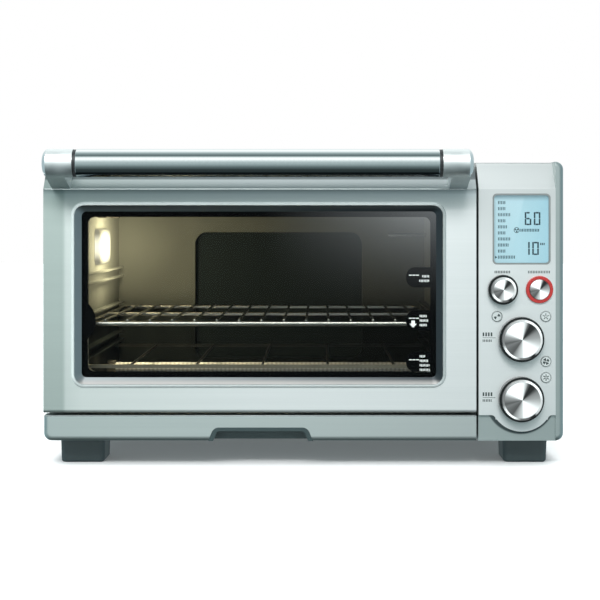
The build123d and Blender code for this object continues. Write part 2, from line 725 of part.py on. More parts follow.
def knob(centre, radius, length):
    """A turned metal knob with a bevelled rim, a slightly hollow face and its shaft."""
    x, z = centre
    front = KNOB_BACK_Y - length
    body = rod_y(front, KNOB_BACK_Y, x, z, radius)
    rim = body.edges().filter_by_position(Axis.Y, front - 0.1, front + 0.1)
    body = chamfer(rim, KNOB_BEVEL)
    body -= rod_y(front - 1, front + 0.4, x, z, radius - KNOB_BEVEL - KNOB_RIM)
    return body + rod_y(KNOB_BACK_Y, FRONT_Y + 11.6, x, z, SHAFT_RADIUS)


def push_button(centre, radius, proud):
    """A round cap with a flange behind the panel and a short plunger."""
    x, z = centre
    cap = rod_y(FRONT_Y - proud, FRONT_Y + 5.0, x, z, radius)
    rim = cap.edges().filter_by_position(Axis.Y, FRONT_Y - proud - 0.1, FRONT_Y - proud + 0.1)
    return fillet(rim, 0.5) + rod_y(FRONT_Y + 4.8, FRONT_Y + 6.5, x, z, 2.0)


# ---------------------------------------------------------------- door

def hinge_notches():
    """Room in the door's lower edge for the two hinge arms over the whole swing."""
    gap = HINGE_NOTCH_GAP
    return [
        block(
            x - gap, x + HINGE_ARM_WIDTH + gap, FRONT_Y + DOOR_SHEET + 0.1, FRAME_Y,
            DOOR_BOTTOM_Z - 1, HINGE_Z + HINGE_ARM_HALF_HEIGHT + gap,
        )
        for x in (HINGE_ARM_LEFT_X, HINGE_ARM_RIGHT_X)
    ]


def window_loft(margin, y_front, y_glass):
    """The funnel between the window's outer edge and the glass."""
    outer = rounded_frame_sketch(
        WINDOW_LEFT_X - margin, WINDOW_RIGHT_X + margin,
        WINDOW_BOTTOM_Z - margin, WINDOW_TOP_Z + margin, WINDOW_CORNER + margin,
    )
    inner = rounded_frame_sketch(
        WINDOW_LEFT_X + WINDOW_BEVEL - margin, WINDOW_RIGHT_X - WINDOW_BEVEL + margin,
        WINDOW_BOTTOM_Z + WINDOW_BEVEL - margin, WINDOW_TOP_Z - WINDOW_BEVEL + margin,
        GLASS_CORNER + margin,
    )
    return loft([facing_front(y_front) * outer, facing_front(y_glass) * inner])


def door_panel():
    back = FRONT_Y + DOOR_SHELL_DEPTH
    outer = across(faceted_profile(FRONT_Y, back, DOOR_BOTTOM_Z, 0.0), LEFT_X, DOOR_RIGHT_X)
    bottom_front = edges_along(
        outer, Axis.X, lambda c: c.Z < DOOR_BOTTOM_Z + 1 and c.Y < FRONT_Y + 1
    )
    outer = fillet(bottom_front, DOOR_EDGE_RADIUS)
    inner = across(
        faceted_profile(FRONT_Y, back + 1, DOOR_BOTTOM_Z, DOOR_SHEET),
        LEFT_X + DOOR_SHEET, DOOR_RIGHT_X - DOOR_SHEET,
    )
    inner_front = edges_along(
        inner, Axis.X, lambda c: c.Z < DOOR_BOTTOM_Z + 3 and c.Y < FRONT_Y + 3
    )
    inner = fillet(inner_front, DOOR_EDGE_RADIUS - DOOR_SHEET)
    glass_y = FRONT_Y + WINDOW_DEPTH
    panel = outer - inner + window_loft(DOOR_SHEET, FRONT_Y, glass_y)
    panel -= window_loft(0.0, FRONT_Y, glass_y)
    for notch in hinge_notches():
        panel -= notch
    return panel


GLASS_FRONT_Y = FRONT_Y + WINDOW_DEPTH


def door_glass():
    return rounded_prism(
        WINDOW_LEFT_X + WINDOW_BEVEL - GLASS_OVERLAP, WINDOW_RIGHT_X - WINDOW_BEVEL + GLASS_OVERLAP,
        WINDOW_BOTTOM_Z + WINDOW_BEVEL - GLASS_OVERLAP, WINDOW_TOP_Z - WINDOW_BEVEL + GLASS_OVERLAP,
        GLASS_CORNER + GLASS_OVERLAP, GLASS_FRONT_Y, GLASS_FRONT_Y + GLASS_THICKNESS,
    )


def door_liner():
    """The inner door skin, with a funnel that holds the glass from behind."""
    y0 = FRONT_Y + DOOR_SHELL_DEPTH
    y1 = y0 + DOOR_SHEET
    glass_back = GLASS_FRONT_Y + GLASS_THICKNESS
    plate = block(
        LEFT_X + 1.0, DOOR_RIGHT_X - 1.0, y0, y1, DOOR_BOTTOM_Z + 1.0, DOOR_TOP_Z - 1.0
    )
    x0 = WINDOW_LEFT_X + LINER_MARGIN
    x1 = WINDOW_RIGHT_X - LINER_MARGIN
    z0 = WINDOW_BOTTOM_Z + LINER_MARGIN
    z1 = WINDOW_TOP_Z - LINER_MARGIN
    wall = DOOR_SHEET
    plate += rounded_prism(x0 - wall, x1 + wall, z0 - wall, z1 + wall, 8.0 + wall, glass_back, y0)
    plate -= rounded_prism(x0, x1, z0, z1, 8.0, glass_back - 1, y1 + 1)
    for notch in hinge_notches():
        plate -= notch
    return plate


def door_gasket():
    y0 = FRONT_Y + DOOR_SHELL_DEPTH + DOOR_SHEET
    y1 = y0 + 3.0
    x0 = CAVITY_LEFT_X - 6.0
    x1 = CAVITY_RIGHT_X + 6.0
    z0 = CAVITY_OPENING_Z - 5.5
    z1 = CAVITY_TOP_Z + 6.0
    ring = rounded_prism(x0, x1, z0, z1, 8.0, y0, y1)
    return ring - rounded_prism(x0 + 4.5, x1 - 4.5, z0 + 4.5, z1 - 4.5, 4.0, y0 - 1, y1 + 1)


def handle_tube():
    x0 = HANDLE_CENTRE_X - HANDLE_TUBE_HALF
    x1 = HANDLE_CENTRE_X + HANDLE_TUBE_HALF
    tube = rod_x(x0, x1, HANDLE_Y, HANDLE_Z, HANDLE_RADIUS)
    tube = fillet(tube.edges().filter_by(GeomType.CIRCLE), 0.6)
    return tube - rod_x(x0 - 1, x1 + 1, HANDLE_Y, HANDLE_Z, HANDLE_RADIUS - HANDLE_WALL)


def handle_collars():
    collars = []
    for side in (-1, 1):
        start = HANDLE_CENTRE_X + side * HANDLE_TUBE_HALF
        end = start + side * HANDLE_COLLAR_LENGTH
        x0, x1 = sorted((start, end))
        collars.append(rod_x(x0, x1, HANDLE_Y, HANDLE_Z, HANDLE_COLLAR_RADIUS))
    return group(collars)


def end_barrel(near, far):
    """The handle's end piece: a turned barrel with a rounded nose."""
    side = 1 if far > near else -1
    shoulder = far - side * BARREL_NOSE_LENGTH
    bend = (
        far - side * BARREL_NOSE_LENGTH * 0.36,
        HANDLE_RADIUS - (HANDLE_RADIUS - BARREL_END_RADIUS) * 0.38,
    )
    outline = Wire([
        Line((near, 0), (near, HANDLE_RADIUS)),
        Line((near, HANDLE_RADIUS), (shoulder, HANDLE_RADIUS)),
        ThreePointArc((shoulder, HANDLE_RADIUS), bend, (far, BARREL_END_RADIUS)),
        Line((far, BARREL_END_RADIUS), (far, 0)),
        Line((far, 0), (near, 0)),
    ])
    turned = revolve(make_face(outline), Axis.X, 360)
    return Pos(0, HANDLE_Y, HANDLE_Z) * turned


def handle_bracket(side):
    """The end barrel of the handle with the leg that carries it on the door."""
    near = HANDLE_CENTRE_X + side * (HANDLE_TUBE_HALF + HANDLE_COLLAR_LENGTH)
    far = near + side * BARREL_LENGTH
    leg_far = far - side * LEG_INSET
    leg_x0, leg_x1 = sorted((leg_far, leg_far - side * LEG_WIDTH))
    slope = FACET_DEPTH / (DOOR_TOP_Z - FACET_Z)
    leg = across(
        [
            (HANDLE_Y - 7.0, HANDLE_Z - 9.6), (FRONT_Y, FACET_Z),
            (FRONT_Y + LEG_FOOT_HEIGHT * slope, FACET_Z + LEG_FOOT_HEIGHT),
            (HANDLE_Y + 7.0, HANDLE_Z + 9.6), (HANDLE_Y, HANDLE_Z),
        ],
        leg_x0, leg_x1,
    )
    return end_barrel(near, far) + leg


def hinge_brackets():
    """Fixed hinge arms, which reach from the front frame into the door's lower edge."""
    arms = []
    for x in (HINGE_ARM_LEFT_X, HINGE_ARM_RIGHT_X):
        arm = block(
            x, x + HINGE_ARM_WIDTH, HINGE_Y, FRAME_Y,
            HINGE_Z - HINGE_ARM_HALF_HEIGHT, HINGE_Z + HINGE_ARM_HALF_HEIGHT,
        )
        arm += rod_x(x, x + HINGE_ARM_WIDTH, HINGE_Y, HINGE_Z, HINGE_ARM_HALF_HEIGHT)
        arms.append(arm - rod_x(x - 1, x + HINGE_ARM_WIDTH + 1, HINGE_Y, HINGE_Z, HINGE_BORE_RADIUS))
    return group(arms)


def hinge_lug_x(arm_x):
    """The lug stands on the cavity side of each arm."""
    return arm_x + 6.0 if arm_x < 0 else arm_x - 3.0 - HINGE_LUG_WIDTH


def hinge_pins():
    """Two pins, each welded to the lug that fixes it in the door."""
    outer_ends = (LEFT_X + DOOR_SHEET, DOOR_RIGHT_X - DOOR_SHEET)
    pins = []
    for arm_x, outer_end in zip((HINGE_ARM_LEFT_X, HINGE_ARM_RIGHT_X), outer_ends):
        x = hinge_lug_x(arm_x)
        lug = block(
            x, x + HINGE_LUG_WIDTH, FRONT_Y + 2.4, FRONT_Y + DOOR_SHELL_DEPTH,
            HINGE_Z - 4.5, HINGE_Z + 6.0,
        )
        pin_x = sorted((x + HINGE_LUG_WIDTH / 2, outer_end))
        pins.append(lug + rod_x(*pin_x, HINGE_Y, HINGE_Z, HINGE_PIN_RADIUS))
    return group(pins)


def rack_magnets():
    y0 = FRONT_Y + DOOR_SHELL_DEPTH + DOOR_SHEET
    half_length = 9.0
    return group([
        block(x - 4.0, x + 4.0, y0, y0 + 7.0, RACK_Z - half_length, RACK_Z + half_length)
        for x in (CAVITY_LEFT_X + 7.0, CAVITY_RIGHT_X - 7.0)
    ])


# ---------------------------------------------------------------- rack and crumb tray

def wire_rack():
    x0 = HANDLE_CENTRE_X - RACK_HALF_WIDTH + RACK_BAR_RADIUS
    x1 = HANDLE_CENTRE_X + RACK_HALF_WIDTH - RACK_BAR_RADIUS
    corner = 12.0
    sketch = Pos((x0 + x1) / 2, (RACK_FRONT_Y + RACK_BACK_Y) / 2, RACK_Z) * RectangleRounded(
        x1 - x0, RACK_BACK_Y - RACK_FRONT_Y, corner
    )
    path = sketch.face().outer_wire()
    start = path.position_at(0)
    section = Plane(origin=start, z_dir=path.tangent_at(0)) * Circle(RACK_BAR_RADIUS)
    rack = sweep(section, path=path)
    wire_z = RACK_Z + RACK_BAR_RADIUS + RACK_WIRE_RADIUS - 0.5
    half = (RACK_WIRE_COUNT - 1) / 2
    for index in range(RACK_WIRE_COUNT):
        x = HANDLE_CENTRE_X + (index - half) * RACK_WIRE_SPACING
        wire = rod_y(RACK_FRONT_Y - 2.0, RACK_BACK_Y + 2.0, x, wire_z, RACK_WIRE_RADIUS)
        rack += fillet(wire.edges().filter_by(GeomType.CIRCLE), RACK_WIRE_RADIUS - 0.2)
    rack += rod_x(x0, x1, (RACK_FRONT_Y + RACK_BACK_Y) / 2, RACK_Z + 0.4, RACK_BAR_RADIUS - 0.5)
    return rack


def grip_outline(margin):
    """The finger recess seen from the front: wider at the bottom, with round upper corners."""
    bottom_half = 47.4 - margin
    top_half = 42.4 - margin
    top_z = 34.8 - margin
    outline = make_face(Polyline(
        (GRIP_CENTRE_X - bottom_half, BODY_BOTTOM_Z - margin), (GRIP_CENTRE_X - top_half, top_z),
        (GRIP_CENTRE_X + top_half, top_z), (GRIP_CENTRE_X + bottom_half, BODY_BOTTOM_Z - margin),
        close=True,
    ))
    top_corners = [corner for corner in outline.vertices() if corner.Y > top_z - 1]
    return fillet(top_corners, 7.0 - margin)


def tray_front():
    back = FRONT_Y + TRAY_FRONT_DEPTH
    sheet = DOOR_SHEET
    panel = block(LEFT_X, DOOR_RIGHT_X, FRONT_Y, back, BODY_BOTTOM_Z, TRAY_TOP_Z)
    lower_left = edges_along(
        panel, Axis.Y, lambda c: c.X < LEFT_X + 1 and c.Z < BODY_BOTTOM_Z + 1
    )
    panel = fillet(lower_left, 7.0)
    front_lower = [
        edge for edge in panel.edges()
        if abs(edge.center().Y - FRONT_Y) < 0.01 and edge.center().Z < BODY_BOTTOM_Z + 4
    ]
    panel = fillet(front_lower, 4.5)
    hollow = block(
        LEFT_X + sheet, DOOR_RIGHT_X - sheet, FRONT_Y + sheet + 3.0, back + 1,
        BODY_BOTTOM_Z + sheet, TRAY_TOP_Z - sheet,
    )
    hollow_corner = edges_along(
        hollow, Axis.Y, lambda c: c.X < LEFT_X + 3 and c.Z < BODY_BOTTOM_Z + 3
    )
    panel -= fillet(hollow_corner, 5.5)
    return panel - extrude(facing_front(FRONT_Y - 1) * grip_outline(0.0), amount=-GRIP_DEPTH - 1.0)


def tray_grip():
    body = extrude(facing_front(FRONT_Y + 0.2) * grip_outline(0.05), amount=0.2 - GRIP_DEPTH)
    pocket = extrude(facing_front(FRONT_Y - 1) * grip_outline(3.2), amount=1.0 - GRIP_DEPTH)
    below = extrude(
        facing_front(FRONT_Y - 1) * Pos(0, -5.0) * grip_outline(3.2), amount=1.0 - GRIP_DEPTH
    )
    return body - pocket - below


def tray_pan():
    front = FRONT_Y + GRIP_DEPTH
    wall = 1.0
    outer = block(
        TRAY_PAN_LEFT_X, TRAY_PAN_RIGHT_X, front, TRAY_PAN_BACK_Y, TRAY_PAN_BOTTOM_Z, TRAY_PAN_TOP_Z
    )
    outer = fillet(outer.edges().filter_by(Axis.Z), 5.0)
    inner = block(
        TRAY_PAN_LEFT_X + wall, TRAY_PAN_RIGHT_X - wall, front + wall, TRAY_PAN_BACK_Y - wall,
        TRAY_PAN_BOTTOM_Z + wall, TRAY_PAN_TOP_Z + 1,
    )
    return outer - fillet(inner.edges().filter_by(Axis.Z), 4.0)


def tray_guides():
    """Rails on the base pan that the crumb tray slides between."""
    y0 = FRAME_Y + FRAME_SHEET
    y1 = TRAY_PAN_BACK_Y + 4.0
    ledge_top = TRAY_PAN_BOTTOM_Z - 0.3
    rails = []
    for edge, side in ((TRAY_PAN_LEFT_X, -1), (TRAY_PAN_RIGHT_X, 1)):
        wall_x = sorted((edge + side * 1.0, edge + side * 3.0))
        ledge_x = sorted((edge - side * 6.0, edge + side * 3.0))
        rail = block(*wall_x, y0, y1, PAN_TOP_Z, TRAY_PAN_TOP_Z)
        rails.append(rail + block(*ledge_x, y0, y1, ledge_top - 1.5, ledge_top))
    return group(rails)


# ---------------------------------------------------------------- all nodes

NODES = {
    "base_pan": base_pan(),
    "top_cover": top_cover(),
    "left_side_panel": side_panel(LEFT_X, LEFT_X + SHEET),
    "right_side_panel": side_panel(RIGHT_X - SHEET, RIGHT_X),
    "rear_panel": rear_panel(),
    "rear_bump_cover": rear_bump_cover(),
    "front_frame": front_frame(),
    "panel_divider": panel_divider(),
    "feet": feet(),
    "case_screws": case_screws(),
    "cord_gland": cord_gland(),
    "cavity_top_wall": cavity_top_wall(),
    "cavity_left_wall": cavity_left_wall(),
    "cavity_right_wall": cavity_right_wall(),
    "cavity_back_wall": cavity_back_wall(),
    "rack_guides": rack_guides(),
    "quartz_heaters": quartz_heaters(),
    "heater_holders": heater_holders(),
    "lower_heater_guard": lower_heater_guard(),
    "lamp_housing": lamp_housing(),
    "lamp_bulb": lamp_bulb(),
    "lamp_lens": lamp_lens(),
    "temperature_probe": temperature_probe(),
    "fan_shroud": fan_shroud(),
    "fan_impeller": fan_impeller(),
    "fan_motor": fan_motor(),
    "control_fascia": control_fascia(),
    "control_housing": control_housing(),
    "lcd_bezel": lcd_bezel(),
    "lcd_window": lcd_window(),
    "lcd_module": lcd_module(),
    "control_board": control_board(),
    "rotary_encoders": rotary_encoders(),
    "button_switches": button_switches(),
    "knob_collars": knob_collars(),
    "start_ring": start_ring(),
    "function_knob": knob(FUNCTION_KNOB, SMALL_KNOB_RADIUS, SMALL_KNOB_LENGTH),
    "temperature_knob": knob(TEMPERATURE_KNOB, LARGE_KNOB_RADIUS, LARGE_KNOB_LENGTH),
    "time_knob": knob(TIME_KNOB, LARGE_KNOB_RADIUS, LARGE_KNOB_LENGTH),
    "start_button": push_button(START_BUTTON, START_CAP_RADIUS, 3.4),
    "hinge_brackets": hinge_brackets(),
    "door_panel": door_panel(),
    "door_glass": door_glass(),
    "door_liner": door_liner(),
    "door_gasket": door_gasket(),
    "handle_tube": handle_tube(),
    "handle_collars": handle_collars(),
    "handle_bracket_left": handle_bracket(-1),
    "handle_bracket_right": handle_bracket(1),
    "hinge_pins": hinge_pins(),
    "rack_magnets": rack_magnets(),
    "wire_rack": wire_rack(),
    "tray_front": tray_front(),
    "tray_grip": tray_grip(),
    "tray_pan": tray_pan(),
    "tray_guides": tray_guides(),
}

# The four small buttons share one shape
for button_name, button_centre in SMALL_BUTTONS.items():
    NODES[button_name] = push_button(button_centre, SMALL_CAP_RADIUS, 1.0)

os.makedirs("parts", exist_ok=True)
for node_name, shape in NODES.items():
    export_step(shape, f"parts/{node_name}.step")
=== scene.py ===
import math

import bmesh
import bpy
from mathutils import Matrix, Vector


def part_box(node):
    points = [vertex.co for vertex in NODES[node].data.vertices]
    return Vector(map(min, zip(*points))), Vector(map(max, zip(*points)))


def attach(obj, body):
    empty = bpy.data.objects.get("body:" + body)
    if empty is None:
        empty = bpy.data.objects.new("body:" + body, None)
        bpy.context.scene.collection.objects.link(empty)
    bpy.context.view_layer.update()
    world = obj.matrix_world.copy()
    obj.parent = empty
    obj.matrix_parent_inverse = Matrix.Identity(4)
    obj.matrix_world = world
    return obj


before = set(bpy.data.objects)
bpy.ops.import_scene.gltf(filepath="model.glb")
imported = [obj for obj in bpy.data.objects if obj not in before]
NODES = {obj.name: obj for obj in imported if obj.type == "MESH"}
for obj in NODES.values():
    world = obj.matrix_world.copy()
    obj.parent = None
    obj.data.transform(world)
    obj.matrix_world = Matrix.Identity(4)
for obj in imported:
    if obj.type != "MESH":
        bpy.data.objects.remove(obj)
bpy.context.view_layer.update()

# The looks of a countertop convection toaster oven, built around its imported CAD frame.
# Lengths are in metres; MM turns millimetres into metres. The front faces -Y.
MM = 0.001

PANEL_LOW, PANEL_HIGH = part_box("door_panel")
FASCIA_LOW, FASCIA_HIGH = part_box("control_fascia")
GLASS_LOW, GLASS_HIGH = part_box("door_glass")
LCD_LOW, LCD_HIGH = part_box("lcd_module")
TUBE_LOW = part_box("handle_tube")[0]
LENS_LOW, LENS_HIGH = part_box("lamp_lens")
LENS_REACH = Vector((1.0, 0.70 * (LENS_HIGH.y - LENS_LOW.y), 0.52 * (LENS_HIGH.z - LENS_LOW.z)))
FRONT_Y = PANEL_LOW.y
FACET_Z = 250.1 * MM
BUMP_DEPTH = 0.1 * MM
TICK_PITCH = 1.45 * MM
LABEL_PITCH = 1.35 * MM
LIST_PITCH = 5.48 * MM
SHADE_FULL_Z = 105 * MM
SHADE_END_Z = 150 * MM
HALO_REACH = (90 * MM, 230 * MM, 85 * MM)
CREASE_RADIUS = 0.55 * MM
WHITE = (1.0, 1.0, 1.0)

CAMERA_DISTANCE = 1.3
CAMERA_X = 0.0149
CAMERA_Z = 0.221
CAMERA_LENS = 86.4
CAMERA_SHIFT = (-0.0334, -0.1312)
CLIP_END = 50.0

KEY_PLACE = (-0.50, -1.84, 1.71)
KEY_TARGET = (-0.50, -0.18, 0.27)
KEY_SIZE = (1.9, 0.60)
KEY_POWER = 38.0
SKY_POWER = 3.3
SKY_ANGLE = 70
LAMP_POWER = 2.2
LAMP_STANDOFF = 30 * MM
LAMP_SOFTNESS = 0.018
WORLD_STRENGTH = 1.40
FLOOR_HALF = 6.0


def centre_of(node):
    low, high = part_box(node)
    return (low + high) / 2


# ---------------------------------------------------------------- shader helpers

class Shader:
    """One node material, with short calls for the nodes that it needs."""

    def __init__(self, name):
        self.material = bpy.data.materials.new(name)
        self.material.use_nodes = True
        self.tree = self.material.node_tree
        self.bsdf = self.tree.nodes["Principled BSDF"]
        self.output = self.tree.nodes["Material Output"]

    def add(self, kind, **settings):
        node = self.tree.nodes.new(kind)
        for name, value in settings.items():
            setattr(node, name, value)
        return node

    def link(self, source, target):
        self.tree.links.new(source, target)

    def feed(self, socket, value):
        """Sets a socket to a plain value or links it to another socket."""
        if isinstance(value, bpy.types.NodeSocket):
            self.link(value, socket)
        else:
            socket.default_value = value

    def position(self, scale=(1.0, 1.0, 1.0)):
        """The place on the object, in metres, scaled."""
        coordinates = self.add("ShaderNodeTexCoord")
        mapping = self.add("ShaderNodeMapping")
        mapping.inputs["Scale"].default_value = scale
        self.link(coordinates.outputs["Object"], mapping.inputs["Vector"])
        return mapping.outputs["Vector"]

    def axes(self):
        """The object's X, Y and Z as three sockets."""
        split = self.add("ShaderNodeSeparateXYZ")
        self.link(self.position(), split.inputs["Vector"])
        return split.outputs["X"], split.outputs["Y"], split.outputs["Z"]

    def noise(self, vector, scale=1.0, detail=2.0, roughness=0.5):
        node = self.add("ShaderNodeTexNoise")
        node.inputs["Scale"].default_value = scale
        node.inputs["Detail"].default_value = detail
        node.inputs["Roughness"].default_value = roughness
        self.link(vector, node.inputs["Vector"])
        return node.outputs["Fac"]

    def math(self, operation, first, second=0.0):
        node = self.add("ShaderNodeMath", operation=operation)
        for socket, value in zip(node.inputs, (first, second)):
            self.feed(socket, value)
        return node.outputs["Value"]

    def remap(self, value, low, high, new_low, new_high, smooth=False):
        node = self.add("ShaderNodeMapRange")
        if smooth:
            node.interpolation_type = "SMOOTHSTEP"
        self.feed(node.inputs["Value"], value)
        for name, number in (
            ("From Min", low), ("From Max", high), ("To Min", new_low), ("To Max", new_high)
        ):
            node.inputs[name].default_value = number
        return node.outputs["Result"]

    def mix(self, factor, first, second):
        node = self.add("ShaderNodeMix", data_type="RGBA")
        self.feed(node.inputs["Factor"], factor)
        for socket, value in ((node.inputs[6], first), (node.inputs[7], second)):
            if isinstance(value, tuple):
                value = (*value, 1.0) if len(value) == 3 else value
            self.feed(socket, value)
        return node.outputs[2]

    def multiply(self, first, second):
        node = self.add("ShaderNodeMix", data_type="RGBA", blend_type="MULTIPLY")
        node.inputs["Factor"].default_value = 1.0
        self.feed(node.inputs[6], first)
        self.feed(node.inputs[7], second)
        return node.outputs[2]

    def ramp(self, factor, stops):
        node = self.add("ShaderNodeValToRGB")
        elements = node.color_ramp.elements
        while len(elements) < len(stops):
            elements.new(0.5)
        for element, (place, colour) in zip(elements, stops):
            element.position = place
            element.color = (*colour, 1.0)
        self.link(factor, node.inputs["Fac"])
        return node.outputs["Color"]

    def bump(self, height, strength):
        node = self.add("ShaderNodeBump")
        node.inputs["Strength"].default_value = strength
        node.inputs["Distance"].default_value = BUMP_DEPTH
        self.link(height, node.inputs["Height"])
        self.link(node.outputs["Normal"], self.bsdf.inputs["Normal"])

    def radial_vector(self, radius, scale):
        """A vector that changes only with distance from an axis, for ring marks."""
        combine = self.add("ShaderNodeCombineXYZ")
        self.link(self.math("MULTIPLY", radius, scale), combine.inputs["X"])
        return combine.outputs["Vector"]

    def distance(self, x, z, centre_x, centre_z):
        """How far a point lies from an axis along Y, with its two offsets."""
        dx = self.math("SUBTRACT", x, centre_x)
        dz = self.math("SUBTRACT", z, centre_z)
        squares = self.math("ADD", self.math("MULTIPLY", dx, dx), self.math("MULTIPLY", dz, dz))
        return self.math("SQRT", squares), dx, dz

    def set(self, **values):
        """Sets or links sockets of the Principled shader; underscores stand for spaces."""
        for name, value in values.items():
            if isinstance(value, tuple) and len(value) == 3:
                value = (*value, 1.0)
            self.feed(self.bsdf.inputs[name.replace("_", " ")], value)


def shade(level, warmth=0.0):
    """A near-neutral linear colour with the slight green-blue cast of the steel."""
    return (level * (0.98 + warmth), level, level * (0.99 - warmth))


# ---------------------------------------------------------------- materials

def brushed_steel(name, level, along=(2.5, 700.0, 700.0), spread=0.05, tint=None):
    """Steel with fine brush marks; along is small on the axis that the marks follow."""
    s = Shader(name)
    streaks = s.noise(s.position(along), detail=4.0, roughness=0.65)
    patches = s.noise(s.position((5.0, 5.0, 14.0)), detail=2.0)
    tone = s.math("ADD", s.math("MULTIPLY", streaks, 0.7), s.math("MULTIPLY", patches, 0.3))
    colour = s.mix(tone, shade(level * (1 - spread)), shade(level * (1 + spread)))
    # The tint multiplies in painted light or shade, or a colour cast, as each material gives.
    if tint is not None:
        colour = s.multiply(colour, tint(s))
    s.set(
        Base_Color=colour,
        Roughness=s.remap(streaks, 0.3, 0.7, 0.44, 0.49),
        Metallic=1.0,
        Anisotropic=0.6,
    )
    across = s.add("ShaderNodeCombineXYZ")
    across.inputs["X"].default_value = 0.0 if along[0] < along[1] else 0.3
    across.inputs["Z"].default_value = 1.0
    s.link(across.outputs["Vector"], s.bsdf.inputs["Tangent"])
    s.bump(streaks, 0.05)
    return s.material


def door_painted_shade(s):
    """Painted shade on the door: a darker left end, the handle's shadow on the facet and below it,
    and shaded slopes in the window recess.
    """
    x, y, z = s.axes()
    # Painted shade: the door darkens towards its left end.
    run = s.remap(x, PANEL_LOW.x, PANEL_HIGH.x, 0.0, 1.0)
    along = s.ramp(run, [
        (0.0, (0.50, 0.57, 0.545)), (0.045, (0.50, 0.57, 0.545)), (0.052, (0.72, 0.77, 0.75)),
        (0.09, (0.80, 0.84, 0.82)), (0.5, (0.92, 0.93, 0.93)), (1.0, WHITE),
    ])
    rise = s.remap(z, FACET_Z - 20 * MM, FACET_Z + 12 * MM, 0.0, 1.0)
    # Painted shadow of the handle: dark under the tube and on the facet, fading down the door's
    # face below the facet.
    upper = s.ramp(rise, [
        (0.0, WHITE), (0.234, (0.82, 0.84, 0.84)), (0.469, (0.68, 0.72, 0.74)),
        (0.617, (0.34, 0.38, 0.40)), (0.637, (0.55, 0.58, 0.59)), (0.88, (0.55, 0.58, 0.59)),
        (0.92, (0.20, 0.22, 0.23)), (1.0, (0.18, 0.20, 0.21)),
    ])
    # Painted shade on the slopes of the window recess: lighter at the left and the foot, darker at
    # the right and the top.
    recess = s.remap(y, FRONT_Y + 0.5 * MM, FRONT_Y + 1.2 * MM, 0.0, 1.0)
    recess = s.math("MULTIPLY", recess, s.math("LESS_THAN", z, GLASS_HIGH.z + 8 * MM))
    side = s.remap(x, GLASS_LOW.x, GLASS_HIGH.x, 0.0, 1.0)
    slope = s.mix(side, (0.42, 0.45, 0.47), (0.10, 0.11, 0.12))
    at_top = s.remap(z, GLASS_HIGH.z - 1 * MM, GLASS_HIGH.z + 2 * MM, 0.0, 1.0)
    slope = s.mix(at_top, slope, (0.28, 0.29, 0.30))
    at_foot = s.remap(z, GLASS_LOW.z - 2 * MM, GLASS_LOW.z + 1 * MM, 1.0, 0.0)
    slope = s.mix(at_foot, slope, (0.50, 0.48, 0.47))
    return s.mix(recess, s.multiply(along, upper), slope)


def bead_painted_light(s):
    """Painted light on the lip: bright at the window's top and left, darker at its right and foot.
    """
    x, _, z = s.axes()
    rightward = s.remap(x, GLASS_HIGH.x - 4 * MM, GLASS_HIGH.x + 3 * MM, 0.0, 1.0)
    downward = s.remap(z, GLASS_LOW.z + 4 * MM, GLASS_LOW.z - 3 * MM, 0.0, 1.0)
    away = s.math("MAXIMUM", rightward, downward)
    return s.mix(away, (0.92, 1.0, 0.99), (0.52, 0.57, 0.57))


def fascia_painted_shade(s):
    """Painted shade on the control fascia: darker towards its top, and a little darker at its foot.
    """
    _, _, z = s.axes()
    rise = s.remap(z, FASCIA_LOW.z, FASCIA_HIGH.z, 0.0, 1.0)
    return s.ramp(rise, [
        (0.0, (0.94, 0.95, 0.95)), (0.10, WHITE), (0.28, WHITE), (0.60, WHITE),
        (0.82, (0.86, 0.86, 0.86)), (1.0, (0.80, 0.80, 0.80)),
    ])


def housing_cast_and_shadow(s):
    """A slight cast over the whole housing, and a painted shadow: a dark crescent under the lowest
    knob.
    """
    x, _, z = s.axes()
    knob = centre_of("time_knob")
    radius, _, dz = s.distance(x, z, knob.x, knob.z)
    below = s.remap(dz, -19 * MM, -8 * MM, 1.0, 0.0, smooth=True)
    near = s.remap(radius, 31.2 * MM, 33 * MM, 1.0, 0.0, smooth=True)
    # Painted shadow of the fascia's lobe on the housing, under the lowest knob.
    return s.mix(s.math("MULTIPLY", below, near), (0.90, 1.0, 0.99), (0.20, 0.24, 0.25))


def tray_cast_and_shade(s):
    """The tray front is a little greener than the door, with painted shade that darkens it towards
    its left end.
    """
    x, _, _ = s.axes()
    run = s.remap(x, PANEL_LOW.x, PANEL_HIGH.x, 0.0, 1.0)
    # Painted shade: darker towards the left end.
    return s.mix(run, (0.88, 0.98, 0.96), (0.97, 1.03, 1.02))


def tube_painted_reflection(s):
    """Painted reflection on the tube's underside: dark bands for the gap between handle and door,
    with a thin lighter line.
    """
    _, _, z = s.axes()
    rise = s.remap(z, TUBE_LOW.z, TUBE_LOW.z + 8 * MM, 0.0, 1.0)
    return s.ramp(rise, [
        (0.0, (0.40, 0.44, 0.46)), (0.13, (0.45, 0.48, 0.50)), (0.20, (0.55, 0.60, 0.64)),
        (0.26, (0.30, 0.33, 0.35)), (0.31, (0.06, 0.08, 0.09)), (0.48, (0.10, 0.13, 0.14)),
        (0.56, (0.9, 0.95, 1.0)), (0.66, WHITE), (1.0, WHITE),
    ])


def plain_metal(name, level, roughness, metallic=1.0, grain=260.0, warmth=0.0, tint=None):
    """Cast, plated or galvanised metal with a faint mottle."""
    s = Shader(name)
    mottle = s.noise(s.position((grain, grain, grain)), detail=3.0)
    colour = s.mix(mottle, shade(level * 0.94, warmth), shade(level * 1.04, warmth))
    # The tint multiplies in painted light or shade, as each material gives.
    if tint is not None:
        colour = s.multiply(colour, tint(s))
    s.set(
        Base_Color=colour,
        Roughness=s.remap(mottle, 0.3, 0.7, roughness * 0.85, roughness * 1.15),
        Metallic=metallic,
    )
    s.bump(mottle, 0.01)
    return s.material


